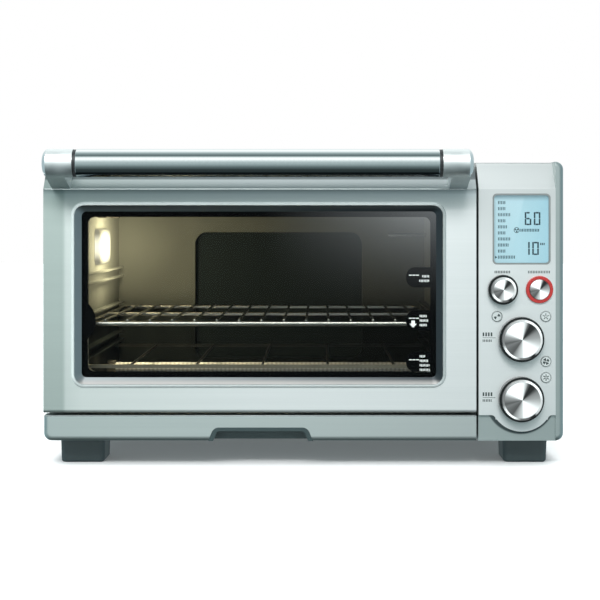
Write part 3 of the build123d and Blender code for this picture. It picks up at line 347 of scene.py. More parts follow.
def moulded(name, colour, roughness, grain=1400.0, specular=0.5):
    """Plastic or rubber with a fine moulded texture."""
    s = Shader(name)
    texture = s.noise(s.position((grain, grain, grain)), detail=2.0)
    wear = s.noise(s.position((30.0, 30.0, 30.0)), detail=3.0)
    darker = tuple(c * 0.88 for c in colour)
    lighter = tuple(min(1.0, c * 1.10) for c in colour)
    s.set(
        Base_Color=s.mix(wear, darker, lighter),
        Roughness=s.remap(wear, 0.3, 0.7, roughness - 0.05, roughness + 0.05),
        Specular_IOR_Level=specular,
    )
    s.bump(texture, 0.12)
    return s.material


def spun_metal_with_painted_reflections(name, centre, face_radius):
    """A turned metal face: fine rings, with painted reflections: bright and dark fan shapes that
    meet at its middle, and bright and dark arcs on its rim.
    """
    s = Shader(name)
    x, _, z = s.axes()
    radius, dx, dz = s.distance(x, z, *centre)
    turn = s.math("ARCTAN2", dz, dx)
    share = s.remap(turn, -math.pi, math.pi, 0.0, 1.0)
    # Painted reflections: bright and dark sectors of the spun face, by angle round its middle.
    painted_fan_levels = [
        (-180, 0.20), (-168, 0.08), (-158, 0.16), (-140, 0.10), (-126, 0.07), (-118, 0.22),
        (-104, 0.42), (-91, 0.60), (-86, 0.92), (-60, 0.92), (-30, 0.86), (-16, 0.60),
        (-4, 0.42), (8, 0.30), (28, 0.20), (40, 0.06), (46, 0.015), (62, 0.012), (70, 0.10),
        (82, 0.70), (90, 1.0), (150, 1.0), (158, 0.70), (168, 0.30), (180, 0.20),
    ]
    stops = [((angle + 180) / 360, shade(level)) for angle, level in painted_fan_levels]
    face = s.ramp(share, stops)
    # Painted reflections on the chrome rim, by angle round the middle.
    painted_rim_levels = [
        (-180, 0.17), (-165, 0.20), (-150, 0.85), (-140, 1.0), (-115, 0.95), (-105, 0.5),
        (-95, 0.14), (-70, 0.10), (-62, 0.012), (-50, 0.012), (-42, 0.50), (-20, 0.62),
        (0, 0.60), (18, 0.85), (25, 1.0), (75, 1.0), (85, 0.60), (100, 0.50), (130, 0.36),
        (150, 0.22), (165, 0.17), (180, 0.17),
    ]
    edge = s.ramp(share, [((angle + 180) / 360, shade(level)) for angle, level in painted_rim_levels])
    rings = s.noise(s.radial_vector(radius, 5200.0), detail=2.0)
    tone = s.mix(rings, (0.93, 0.93, 0.93), WHITE)
    rim = s.remap(radius, face_radius - 0.25 * MM, face_radius + 0.25 * MM, 0.0, 1.0)
    s.set(
        Base_Color=s.mix(rim, s.multiply(face, tone), edge),
        Roughness=s.remap(rings, 0.3, 0.7, 0.30, 0.42),
        Metallic=0.35,
    )
    s.bump(rings, 0.03)
    return s.material


def clear_pane(name, tint, gloss, sheen=None):
    """A pane that light crosses straight, with a mirror film and, if given, a painted reflection: a
    milky sheen that the pane gives off as light.
    """
    s = Shader(name)
    clear = s.add("ShaderNodeBsdfTransparent")
    smudge = s.noise(s.position((14.0, 14.0, 14.0)), detail=4.0)
    low = tuple(c * 0.96 for c in tint)
    s.link(s.mix(smudge, low, tint), clear.inputs["Color"])
    mirror = s.add("ShaderNodeBsdfGlossy")
    mirror.inputs["Color"].default_value = (1.0, 1.0, 1.0, 1.0)
    s.feed(mirror.inputs["Roughness"], s.remap(smudge, 0.3, 0.7, 0.02, 0.035))
    blend = s.add("ShaderNodeMixShader")
    blend.inputs["Fac"].default_value = gloss
    s.link(clear.outputs["BSDF"], blend.inputs[1])
    s.link(mirror.outputs["BSDF"], blend.inputs[2])
    surface = blend.outputs["Shader"]
    if sheen is not None:
        # Painted reflection: the sheen glows as emission on top of the pane.
        painted_reflection_glow = s.add("ShaderNodeEmission")
        painted_reflection_glow.inputs["Color"].default_value = (0.88, 0.96, 1.0, 1.0)
        s.link(sheen(s, smudge), painted_reflection_glow.inputs["Strength"])
        total = s.add("ShaderNodeAddShader")
        s.link(surface, total.inputs[0])
        s.link(painted_reflection_glow.outputs["Emission"], total.inputs[1])
        surface = total.outputs["Shader"]
    s.link(surface, s.output.inputs["Surface"])
    s.tree.nodes.remove(s.bsdf)
    return s.material


def window_painted_reflection(s, smudge):
    """Painted reflection of the studio on the outer pane, a milky sheen strongest at its upper
    right corner.
    """
    x, _, z = s.axes()
    width = GLASS_HIGH.x - GLASS_LOW.x
    rightward = s.remap(x, GLASS_LOW.x + 0.50 * width, GLASS_HIGH.x, 0.0, 1.0)
    upward = s.remap(z, GLASS_LOW.z + 0.28 * (GLASS_HIGH.z - GLASS_LOW.z), GLASS_HIGH.z, 0.0, 1.0)
    level = s.math("MULTIPLY", s.math("POWER", rightward, 1.5), s.math("POWER", upward, 2.6))
    level = s.math("ADD", s.math("MULTIPLY", level, 0.15), 0.0002)
    return s.math("MULTIPLY", level, s.remap(smudge, 0.3, 0.7, 0.94, 1.06))


def glowing(name, colour, strength, centre, reach):
    """A lit surface, brightest at its centre and fading towards its edges."""
    s = Shader(name)
    _, y, z = s.axes()
    dy = s.math("DIVIDE", s.math("SUBTRACT", y, centre.y), reach.y)
    dz = s.math("DIVIDE", s.math("SUBTRACT", z, centre.z), reach.z)
    spread = s.math("ADD", s.math("MULTIPLY", dy, dy), s.math("MULTIPLY", dz, dz))
    uneven = s.noise(s.position((300.0, 300.0, 300.0)), detail=2.0)
    glow = s.mix(uneven, tuple(c * 0.93 for c in colour), colour)
    level = s.math("MULTIPLY", s.remap(spread, 0.15, 1.10, 1.0, 0.16, smooth=True), strength)
    s.set(
        Base_Color=(0.03, 0.03, 0.02), Roughness=0.5,
        Emission_Color=glow, Emission_Strength=level,
    )
    return s.material


def lcd_face():
    """The backlit display: paler to the left, bluer to the right, with painted shade under its top
    edge and along its left edge.
    """
    s = Shader("lcd_backlight")
    x, _, z = s.axes()
    across = s.remap(x, LCD_LOW.x, LCD_HIGH.x, 0.0, 1.0)
    glow = s.ramp(across, [
        (0.0, (0.42, 0.66, 0.74)), (0.45, (0.44, 0.72, 0.81)), (1.0, (0.34, 0.63, 0.75)),
    ])
    slant = s.math("ADD", x, s.math("MULTIPLY", z, -0.22))
    edge = LCD_LOW.x + 29 * MM - 0.22 * LCD_HIGH.z
    pale = s.remap(slant, edge - 0.6 * MM, edge + 0.6 * MM, 1.0, 0.0)
    pale = s.math("MULTIPLY", pale, s.remap(z, LCD_LOW.z + 8 * MM, LCD_HIGH.z - 10 * MM, 0.0, 0.35))
    glow = s.mix(pale, glow, (0.66, 0.88, 0.96))
    # Painted shade under the bezel's top edge and along its left edge.
    top = s.remap(z, LCD_HIGH.z - 7 * MM, LCD_HIGH.z - 0.5 * MM, 0.0, 1.0, smooth=True)
    side = s.remap(x, LCD_LOW.x + 0.5 * MM, LCD_LOW.x + 3.5 * MM, 0.55, 0.0, smooth=True)
    grain = s.noise(s.position((900.0, 900.0, 900.0)), detail=1.0)
    glow = s.mix(s.math("MAXIMUM", top, side), glow, (0.13, 0.24, 0.29))
    glow = s.mix(s.math("MULTIPLY", grain, 0.06), glow, (0.9, 1.0, 1.0))
    s.set(
        Base_Color=(0.06, 0.09, 0.10), Roughness=0.35,
        Emission_Color=glow, Emission_Strength=0.90,
    )
    return s.material


def cavity_coating():
    """The dark inner coating, with painted shade that makes the bulge at the back darker.

    It has a painted glow of lamp light round the lamp's lens, and painted shade makes it nearly
    black from the rack down.
    """
    s = Shader("cavity_coating")
    mottle = s.noise(s.position((22.0, 22.0, 22.0)), detail=5.0, roughness=0.6)
    speck = s.noise(s.position((900.0, 900.0, 900.0)), detail=1.0)
    x, y, z = s.axes()
    wall_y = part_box("cavity_back_wall")[0].y
    # Painted shade in the bulge at the back.
    bulge = s.remap(y, wall_y + 1.5 * MM, wall_y + 5 * MM, 0.0, 1.0)
    walls = s.mix(mottle, (0.040, 0.042, 0.036), (0.060, 0.062, 0.054))
    # Painted shade: nearly black from the rack down.
    shade_below_rack = s.remap(z, SHADE_FULL_Z, SHADE_END_Z, 1.0, 0.0, smooth=True)
    walls = s.mix(shade_below_rack, walls, (0.007, 0.0085, 0.008))
    lens = centre_of("lamp_lens")
    # Painted glow of the lamp's light on the walls round its lens.
    squares = []
    for axis, middle, length in zip((x, y, z), lens, HALO_REACH):
        share = s.math("DIVIDE", s.math("SUBTRACT", axis, middle), length)
        squares.append(s.math("MULTIPLY", share, share))
    spread = s.math("SQRT", s.math("ADD", s.math("ADD", squares[0], squares[1]), squares[2]))
    painted_lamp_halo = s.math("POWER", s.remap(spread, 0.0, 1.0, 1.0, 0.0), 1.8)
    painted_lamp_halo = s.math("MULTIPLY", painted_lamp_halo, s.remap(bulge, 0.0, 1.0, 1.0, 0.1))
    painted_lamp_halo = s.math("MULTIPLY", painted_lamp_halo, s.remap(shade_below_rack, 0.0, 1.0, 1.0, 0.0))
    s.set(
        Base_Color=s.mix(bulge, walls, (0.008, 0.011, 0.011)),
        Roughness=s.remap(mottle, 0.3, 0.7, 0.50, 0.65),
        Specular_IOR_Level=0.12,
        Emission_Color=(0.95, 0.86, 0.52),
        Emission_Strength=s.math("MULTIPLY", painted_lamp_halo, 0.75),
    )
    s.bump(speck, 0.06)
    return s.material


def guard_coating():
    """The lower guard: a tan front rail, with painted shade that darkens the wires behind it."""
    s = Shader("guard_coating")
    mottle = s.noise(s.position((90.0, 90.0, 90.0)), detail=3.0)
    _, y, _ = s.axes()
    front_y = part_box("lower_heater_guard")[0].y
    behind = s.remap(y, front_y + 3 * MM, front_y + 4 * MM, 0.0, 1.0)
    rail = s.mix(mottle, (0.20, 0.185, 0.14), (0.28, 0.26, 0.20))
    # Painted shade on the wires behind the front rail.
    s.set(Base_Color=s.mix(behind, rail, (0.012, 0.012, 0.010)), Roughness=0.45, Metallic=0.3)
    s.bump(mottle, 0.03)
    return s.material


def quartz_tube():
    s = Shader("quartz_tube")
    coil = s.add("ShaderNodeTexWave", bands_direction="X")
    coil.inputs["Scale"].default_value = 70.0
    s.link(s.position(), coil.inputs["Vector"])
    s.set(
        Base_Color=s.mix(coil.outputs["Fac"], (0.42, 0.40, 0.36), (0.66, 0.64, 0.60)),
        Roughness=0.42,
    )
    return s.material


DOOR_STEEL = brushed_steel("door_steel", 0.98, tint=door_painted_shade)
FASCIA_STEEL = brushed_steel("fascia_steel", 0.98, spread=0.02, tint=fascia_painted_shade)
HOUSING_STEEL = brushed_steel("housing_steel", 0.56, tint=housing_cast_and_shadow)
TRAY_STEEL = brushed_steel("tray_steel", 0.64, tint=tray_cast_and_shade)
CASE_STEEL = brushed_steel("case_steel", 0.62, along=(700.0, 3.0, 700.0))
LINER_STEEL = brushed_steel("liner_steel", 0.50)
BEAD_STEEL = plain_metal("bead_steel", 0.62, 0.35, metallic=0.25, tint=bead_painted_light)
BEZEL = plain_metal("lcd_bezel_grey", 0.46, 0.45)
ZINC = plain_metal("galvanised_steel", 0.52, 0.45, grain=90.0)
SATIN = plain_metal("satin_cast_metal", 0.96, 0.52, grain=60.0)
POLISHED = plain_metal("polished_tube", 0.90, 0.07, grain=500.0, tint=tube_painted_reflection)
CHROME_WIRE = plain_metal("chrome_wire", 0.60, 0.22, warmth=0.06)
MAGNET = plain_metal("nickel_magnet", 0.25, 0.35)
BLACK_PLASTIC = moulded("black_plastic", (0.012, 0.014, 0.015), 0.45)
COLLAR_BLACK = moulded("collar_black", (0.003, 0.005, 0.005), 0.30, grain=300.0)
GRIP_PLASTIC = moulded("grip_plastic", (0.030, 0.050, 0.052), 0.38)
FOOT_RUBBER = moulded("foot_rubber", (0.035, 0.052, 0.055), 0.55)
GASKET = moulded("gasket_rubber", (0.02, 0.02, 0.02), 0.6)
PRINT_BLACK = moulded("glass_print_black", (0.0012, 0.0016, 0.0020), 0.6, specular=0.03)
PRINT_WHITE = moulded("glass_print_white", (0.85, 0.88, 0.88), 0.6)
CAPTION_GREY = moulded("caption_print", (0.045, 0.058, 0.058), 0.6, specular=0.2)
LCD_INK = moulded("lcd_segments", (0.006, 0.028, 0.042), 0.6, specular=0.1)
LCD_INK_PALE = moulded("lcd_labels", (0.02, 0.06, 0.08), 0.6, specular=0.1)
BUTTON = moulded("button_cap", (0.42, 0.46, 0.455), 0.45)
RED_RING = moulded("red_ring", (0.33, 0.022, 0.020), 0.28, grain=300.0)
CERAMIC = moulded("smoked_ceramic", (0.050, 0.047, 0.040), 0.8, grain=500.0, specular=0.15)
BOARD = moulded("board_green", (0.02, 0.12, 0.05), 0.4)
WINDOW_GLASS = clear_pane("window_glass", (0.88, 0.89, 0.88), 0.004, sheen=window_painted_reflection)
LCD_GLASS = clear_pane("lcd_glass", (0.97, 0.98, 0.98), 0.04)
LAMP_GLOW = glowing("lamp_glow", (1.0, 0.93, 0.70), 2.4, centre_of("lamp_lens"), LENS_REACH)

NODE_MATERIALS = {
    "door_panel": DOOR_STEEL, "control_fascia": FASCIA_STEEL, "control_housing": HOUSING_STEEL,
    "tray_front": TRAY_STEEL, "top_cover": CASE_STEEL, "left_side_panel": CASE_STEEL,
    "right_side_panel": CASE_STEEL, "rear_panel": ZINC, "rear_bump_cover": ZINC, "base_pan": ZINC,
    "front_frame": LINER_STEEL, "panel_divider": ZINC, "feet": FOOT_RUBBER, "case_screws": ZINC,
    "cord_gland": BLACK_PLASTIC, "quartz_heaters": quartz_tube(), "heater_holders": CERAMIC,
    "lower_heater_guard": guard_coating(), "lamp_housing": ZINC, "lamp_bulb": LAMP_GLOW,
    "lamp_lens": LAMP_GLOW, "temperature_probe": CHROME_WIRE, "fan_shroud": ZINC,
    "fan_impeller": ZINC, "fan_motor": ZINC, "lcd_bezel": BEZEL, "lcd_window": LCD_GLASS,
    "lcd_module": lcd_face(), "control_board": BOARD, "rotary_encoders": BLACK_PLASTIC,
    "button_switches": BLACK_PLASTIC, "knob_collars": COLLAR_BLACK, "start_ring": RED_RING,
    "hinge_brackets": ZINC, "door_glass": WINDOW_GLASS, "door_liner": LINER_STEEL,
    "door_gasket": GASKET, "handle_tube": POLISHED, "handle_collars": BLACK_PLASTIC,
    "handle_bracket_left": SATIN, "handle_bracket_right": SATIN, "hinge_pins": ZINC,
    "rack_magnets": MAGNET, "wire_rack": CHROME_WIRE, "tray_grip": GRIP_PLASTIC,
    "tray_pan": LINER_STEEL, "tray_guides": ZINC,
    "reheat_button": BUTTON, "lamp_button": BUTTON, "convection_button": BUTTON,
    "frozen_button": BUTTON,
}
coating = cavity_coating()
for place in ("top", "left", "right", "back"):
    NODE_MATERIALS[f"cavity_{place}_wall"] = coating
NODE_MATERIALS["rack_guides"] = coating
FACE_RADII = {
    "function_knob": 9.3, "temperature_knob": 16.1, "time_knob": 16.1, "start_button": 9.5,
}
for node, face_radius in FACE_RADII.items():
    middle = centre_of(node)
    NODE_MATERIALS[node] = spun_metal_with_painted_reflections(f"spun_{node}", (middle.x, middle.z), face_radius * MM)

for node, material in NODE_MATERIALS.items():
    for slot in NODES[node].material_slots:
        slot.material = material


# ---------------------------------------------------------------- pieces

def rounded_outline(x0, x1, z0, z1, corner, steps=8):
    """Points round a rounded rectangle, anticlockwise from its lower right corner."""
    points = []
    corners = ((x1, z0, -90), (x1, z1, 0), (x0, z1, 90), (x0, z0, 180))
    for x, z, start in corners:
        cx = x - corner if x == x1 else x + corner
        cz = z - corner if z == z1 else z + corner
        for step in range(steps + 1):
            angle = math.radians(start + 90 * step / steps)
            points.append((cx + corner * math.cos(angle), cz + corner * math.sin(angle)))
    return points


def circle_outline(x, z, radius, steps=40):
    angles = [2 * math.pi * k / steps for k in range(steps)]
    return [(x + radius * math.cos(a), z + radius * math.sin(a)) for a in angles]


def arc_points(x, z, radius, start, end, steps=10):
    """Points along an arc, with its angles in degrees."""
    angles = [math.radians(start + (end - start) * k / steps) for k in range(steps + 1)]
    return [(x + radius * math.cos(a), z + radius * math.sin(a)) for a in angles]


def hang(mesh, name, material, body, slot_name):
    """Makes a piece from a mesh and hangs it on a body."""
    mesh.name = name
    mesh.materials.append(material)
    piece = bpy.data.objects.new(name, mesh)
    bpy.context.scene.collection.objects.link(piece)
    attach(piece, body)


def stand_up(mesh, name, y_front, thickness, *look):
    """Turns a flat mesh to face the front and hangs it on a body."""
    shift = Matrix.Translation((0.0, y_front + thickness / 2, 0.0))
    mesh.transform(shift @ Matrix.Rotation(math.pi / 2, 4, "X"))
    hang(mesh, name, *look)


def holed_plate(name, loops, y_front, thickness, *look):
    """A flat piece that faces the front, from closed outlines; inner outlines cut holes."""
    curve = bpy.data.curves.new(name, "CURVE")
    curve.dimensions = "2D"
    curve.fill_mode = "BOTH"
    curve.extrude = thickness / 2
    for loop in loops:
        spline = curve.splines.new("POLY")
        spline.points.add(len(loop) - 1)
        for point, (x, z) in zip(spline.points, loop):
            point.co = (x, z, 0.0, 1.0)
        spline.use_cyclic_u = True
    shape = bpy.data.objects.new(name + "_outline", curve)
    mesh = bpy.data.meshes.new_from_object(shape)
    bpy.data.objects.remove(shape)
    stand_up(mesh, name, y_front, thickness, *look)


def plate(name, loops, y_front, thickness, *look):
    """Flat pieces that face the front, one for each closed outline."""
    half = thickness / 2
    mesh = bpy.data.meshes.new(name)
    shape = bmesh.new()
    for loop in loops:
        near = [shape.verts.new((x, z, half)) for x, z in loop]
        far = [shape.verts.new((x, z, -half)) for x, z in loop]
        shape.faces.new(near)
        shape.faces.new(list(reversed(far)))
        for k in range(len(loop)):
            after = (k + 1) % len(loop)
            shape.faces.new((near[k], far[k], far[after], near[after]))
    bmesh.ops.recalc_face_normals(shape, faces=shape.faces)
    shape.to_mesh(mesh)
    shape.free()
    stand_up(mesh, name, y_front, thickness, *look)


def bar(x0, x1, z0, z1):
    return [(x0, z0), (x1, z0), (x1, z1), (x0, z1)]


def glass_print():
    """The black border printed on the window, with its bulge on the left and tabs on the right."""
    border = 5.0 * MM
    bevel = 2.5 * MM
    x0 = GLASS_LOW.x + bevel + border
    x1 = GLASS_HIGH.x - bevel - border
    z0 = GLASS_LOW.z + bevel + border
    z1 = GLASS_HIGH.z - bevel - border
    corner = 6.0 * MM
    bulge_radius = 21.0 * MM
    bulge_reach = 7.2 * MM
    bulge_z = 130.5 * MM
    half = math.sqrt(bulge_radius ** 2 - (bulge_radius - bulge_reach) ** 2)
    half_angle = math.degrees(math.asin(half / bulge_radius))
    tabs = [(z, 9.2 * MM) for z in (93.0 * MM, 130.8 * MM, 170.0 * MM)]
    tab_reach = 22.0 * MM
    tab_corner = 8.5 * MM
    inner = arc_points(x1 - corner, z0 + corner, corner, -90, 0)
    for z, tab_half in tabs:
        inner.append((x1, z - tab_half))
        tab_x = x1 - tab_reach + tab_corner
        inner += arc_points(tab_x, z - tab_half + tab_corner, tab_corner, -90, -180)
        inner += arc_points(tab_x, z + tab_half - tab_corner, tab_corner, 180, 90)
        inner.append((x1, z + tab_half))
    inner += arc_points(x1 - corner, z1 - corner, corner, 0, 90)
    inner += arc_points(x0 + corner, z1 - corner, corner, 90, 180)
    bulge_x = x0 + bulge_reach - bulge_radius
    inner += arc_points(bulge_x, bulge_z, bulge_radius, half_angle, -half_angle, 16)
    inner += arc_points(x0 + corner, z0 + corner, corner, 180, 270)
    inset = 0.3 * MM
    outer = rounded_outline(
        GLASS_LOW.x + inset, GLASS_HIGH.x - inset, GLASS_LOW.z + inset, GLASS_HIGH.z - inset, corner
    )
    y = GLASS_HIGH.y - 0.30 * MM
    holed_plate("glass_print", [outer, inner], y, 0.12 * MM, PRINT_BLACK, "door", "black_plastic")
    white = []
    for z, tab_half in tabs:
        left = x1 - tab_reach + 2.6 * MM
        for dash in range(3):
            start = left + dash * 3.2 * MM
            white.append(bar(start, start + 2.7 * MM, z + 1.6 * MM, z + 2.4 * MM))
    arrow_x = x1 - tab_reach + 6.4 * MM
    arrow_z = tabs[1][0] - 4.6 * MM
    arrow = [(-1.6, 4.4), (-1.6, 1.6), (-3.4, 1.6), (0.0, -2.0), (3.4, 1.6), (1.6, 1.6), (1.6, 4.4)]
    white.append([(arrow_x + dx * MM, arrow_z + dz * MM) for dx, dz in arrow])
    white += label_rows(x1 - 0.5 * MM, tabs[2][0] + 2.0 * MM, (7.0, 10.5), from_right=True)
    white += label_rows(x1 - 9.6 * MM, tabs[1][0] + 5.0 * MM, (7.5, 9.0, 7.0))
    white += label_rows(x1 - 9.6 * MM, tabs[0][0] + 6.2 * MM, (6.5, 8.5, 9.5, 10.0))
    plate("glass_marks", white, y - 0.04 * MM, 0.03 * MM, PRINT_WHITE, "door", "button_plastic")


def label_rows(edge, top, widths, from_right=False):
    """Short rows of small ticks that stand for a label, without any letters."""
    loops = []
    row_pitch = 4.1 * MM
    tick = 0.75 * MM
    height = 2.2 * MM
    for row, width in enumerate(widths):
        z = top - row * row_pitch
        count = int(width * MM / LABEL_PITCH)
        for index in range(count):
            x = edge + (index - count if from_right else index) * LABEL_PITCH
            low = z - height if index % 3 else z - height * 0.85
            loops.append(bar(x, x + tick, low, z))
    return loops


SEGMENTS = {"0": "abcdef", "1": "bc", "6": "afgedc"}


def segment_loops(digit, x, z, width, height, stroke):
    """The lit segments of one seven-segment digit, whose lower left corner is at x, z."""
    gap = stroke * 0.12
    side_gap = stroke + gap
    middle = z + height / 2
    places = {
        "a": bar(x + side_gap, x + width - side_gap, z + height - stroke, z + height),
        "d": bar(x + side_gap, x + width - side_gap, z, z + stroke),
        "g": bar(x + side_gap, x + width - side_gap, middle - stroke / 2, middle + stroke / 2),
        "f": bar(x, x + stroke, middle + gap, z + height - gap),
        "e": bar(x, x + stroke, z + gap, middle - gap),
        "b": bar(x + width - stroke, x + width, middle + gap, z + height - gap),
        "c": bar(x + width - stroke, x + width, z + gap, middle - gap),
    }
    return [places[name] for name in SEGMENTS[digit]]


def display_marks():
    """The display's digits, its list of programmes as plain ticks, and a fan symbol."""
    y = LCD_LOW.y - 0.10 * MM
    thickness = 0.08 * MM
    digit_height = 11.9 * MM
    digit_width = 5.9 * MM
    stroke = 1.4 * MM
    step = 8.2 * MM
    rows = (
        ("60", LCD_HIGH.z - 28.0 * MM, LCD_LOW.x + 43.0 * MM),
        ("10", LCD_HIGH.z - 55.0 * MM, LCD_LOW.x + 41.6 * MM),
    )
    digits = []
    for text, z, right in rows:
        for index, digit in enumerate(reversed(text)):
            x = right - digit_width - index * step
            digits += segment_loops(digit, x, z, digit_width, digit_height, stroke)
    unit_z = rows[1][1] + 9.0 * MM
    for index in range(3):
        x = rows[1][2] + (1.3 + index * 1.5) * MM
        digits.append(bar(x, x + 0.9 * MM, unit_z, unit_z + 2.0 * MM))
    plate("lcd_digits", digits, y, thickness, LCD_INK, "oven", "black_plastic")
    list_left = LCD_LOW.x + 4.7 * MM
    list_top = LCD_HIGH.z - 6.0 * MM
    widths = (7.6, 8.4, 13.0, 7.4, 8.8, 8.0, 12.0, 10.6, 8.6, 16.0)
    labels = []
    for row, width in enumerate(widths):
        z = list_top - row * LIST_PITCH
        for index in range(int(width * MM / TICK_PITCH)):
            x = list_left + index * TICK_PITCH
            labels.append(bar(x, x + 0.75 * MM, z - 3.0 * MM, z - 0.2 * MM))
    caption_left = LCD_LOW.x + 25.0 * MM
    caption_z = LCD_HIGH.z - 32.5 * MM
    for index in range(12):
        x = caption_left + index * TICK_PITCH
        labels.append(bar(x, x + 0.85 * MM, caption_z - 1.4 * MM, caption_z + 1.2 * MM))
    plate("lcd_labels", labels, y, thickness, LCD_INK_PALE, "oven", "black_plastic")
    fan_x = LCD_LOW.x + 21.6 * MM
    ring = [circle_outline(fan_x, caption_z, radius * MM, 24) for radius in (2.6, 2.1)]
    holed_plate("lcd_ring", ring, y, thickness, LCD_INK, "oven", "black_plastic")
    symbol = fan_symbol(fan_x, caption_z, 1.8 * MM)
    marker_x = LCD_LOW.x + 3.0 * MM
    marker_z = list_top - 9 * LIST_PITCH - 1.7 * MM
    marker = [(-0.9, 1.3), (-0.9, -1.3), (1.0, 0.0)]
    symbol.append([(marker_x + dx * MM, marker_z + dz * MM) for dx, dz in marker])
    plate("lcd_symbols", symbol, y, thickness, LCD_INK, "oven", "black_plastic")


def fan_symbol(x, z, radius, blades=3):
    """Curved fan blades round a point."""
    loops = []
    for blade in range(blades):
        turn = 360.0 * blade / blades
        outer = arc_points(x, z, radius, turn, turn + 62, 6)
        inner = arc_points(x, z, radius * 0.18, turn + 62, turn, 2)
        loops.append(outer + inner)
    return loops


def ray_symbol(x, z, radius, rays, width):
    """Short rays round a point."""
    loops = []
    for ray in range(rays):
        angle = math.radians(360.0 * ray / rays + 90)
        along = Vector((math.cos(angle), math.sin(angle)))
        side = Vector((-along.y, along.x)) * width / 2
        start = Vector((x, z)) + along * radius * 0.22
        end = Vector((x, z)) + along * radius
        corners = (start - side, end - side, end + side, start + side)
        loops.append([tuple(corner) for corner in corners])
    return loops


def button_symbols():
    """A ring and a simple symbol on each small button, which move with it."""
    symbols = {
        "reheat_button": lambda x, z: fan_symbol(x, z, 2.9 * MM, 2),
        "lamp_button": lambda x, z: ray_symbol(x, z, 3.0 * MM, 5, 0.7 * MM),
        "convection_button": lambda x, z: fan_symbol(x, z, 3.0 * MM, 4),
        "frozen_button": lambda x, z: ray_symbol(x, z, 3.0 * MM, 6, 0.8 * MM),
    }
    for button, symbol in symbols.items():
        low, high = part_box(button)
        x, z = (low.x + high.x) / 2, (low.z + high.z) / 2
        ring = [circle_outline(x, z, 4.55 * MM), circle_outline(x, z, 4.15 * MM)]
        place = (low.y - 0.05 * MM, 0.08 * MM, CAPTION_GREY, button, "black_plastic")
        holed_plate(button + "_ring", ring, *place)
        plate(button + "_symbol", symbol(x, z), *place)


def captions():
    """Tick rows beside the controls, in place of words."""
    y = FRONT_Y - 0.04 * MM
    thickness = 0.08 * MM
    loops = []

    def row(left, z, width, height, pitch=TICK_PITCH, tick=0.8 * MM):
        for index in range(int(width * MM / pitch)):
            x = left + index * pitch
            loops.append(bar(x, x + tick, z - height / 2, z + height / 2))

    upper_z = 175.2 * MM
    row(centre_of("function_knob").x - 7.2 * MM, upper_z, 14.5, 2.3 * MM)
    row(centre_of("start_button").x - 10.2 * MM, upper_z, 20.5, 2.3 * MM)
    for knob in ("temperature_knob", "time_knob"):
        z = centre_of(knob).z
        left = FASCIA_LOW.x + 3.6 * MM
        row(left, z + 4.2 * MM, 9.8, 3.4 * MM, 2.4 * MM, 1.5 * MM)
        loops.append(bar(left, left + 11.6 * MM, z + 0.9 * MM, z + 1.3 * MM))
        row(left, z - 1.5 * MM, 9.6, 2.2 * MM)
    plate("captions", loops, y, thickness, CAPTION_GREY, "oven", "black_plastic")


def window_bead():
    """A small raised lip round the window recess."""
    half_width = 1.5 * MM
    height = 1.2 * MM
    steps = 6
    margin = 4.6 * MM
    x0, x1 = GLASS_LOW.x - margin, GLASS_HIGH.x + margin
    z0, z1 = GLASS_LOW.z - margin, GLASS_HIGH.z + margin
    corner = 10.5 * MM
    rings = []
    for step in range(steps + 1):
        angle = math.pi * step / steps
        shift = half_width * math.cos(angle)
        y = FRONT_Y - height * math.sin(angle) + 0.02 * MM
        loop = rounded_outline(x0 - shift, x1 + shift, z0 - shift, z1 + shift, corner + shift, 12)
        rings.append([(x, y, z) for x, z in loop])
    count = len(rings[0])
    points = [point for ring in rings for point in ring]
    faces = []
    for step in range(steps):
        for k in range(count):
            after = (k + 1) % count
            low, high = step * count, (step + 1) * count
            faces.append((low + k, low + after, high + after, high + k))
    mesh = bpy.data.meshes.new("window_bead")
    mesh.from_pydata(points, [], faces)
    for polygon in mesh.polygons:
        polygon.use_smooth = True
    hang(mesh, "window_bead", BEAD_STEEL, "door", "door_steel")


def crease(name, x0, x1, y, z, body, slot_name):
    """A fine rolled edge along X that catches the light."""
    steps = 10
    radius = CREASE_RADIUS
    ends = []
    for x in (x0, x1):
        turns = [2 * math.pi * k / steps for k in range(steps)]
        ends.append([(x, y + radius * math.cos(a), z + radius * math.sin(a)) for a in turns])
    faces = [(k, (k + 1) % steps, steps + (k + 1) % steps, steps + k) for k in range(steps)]
    faces += [tuple(reversed(range(steps))), tuple(range(steps, 2 * steps))]
    mesh = bpy.data.meshes.new(name)
    mesh.from_pydata(ends[0] + ends[1], [], faces)
    for polygon in mesh.polygons[:steps]:
        polygon.use_smooth = True
    hang(mesh, name, BEAD_STEEL, body, slot_name)


def rolled_edges():
    """The rolled edges of the door's facet and of the crumb tray's front."""
    tray_low, tray_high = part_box("tray_front")
    inset = 1.0 * MM
    crease(
        "facet_crease", PANEL_LOW.x + inset, PANEL_HIGH.x - inset, FRONT_Y + 0.25 * MM, FACET_Z,
        "door", "door_steel",
    )
    crease(
        "tray_crease", tray_low.x + inset, tray_high.x - inset, tray_low.y + 0.25 * MM,
        tray_high.z - 0.35 * MM, "crumb_tray", "tray_steel",
    )


glass_print()
window_bead()
rolled_edges()
display_marks()
button_symbols()
captions()


# ---------------------------------------------------------------- studio

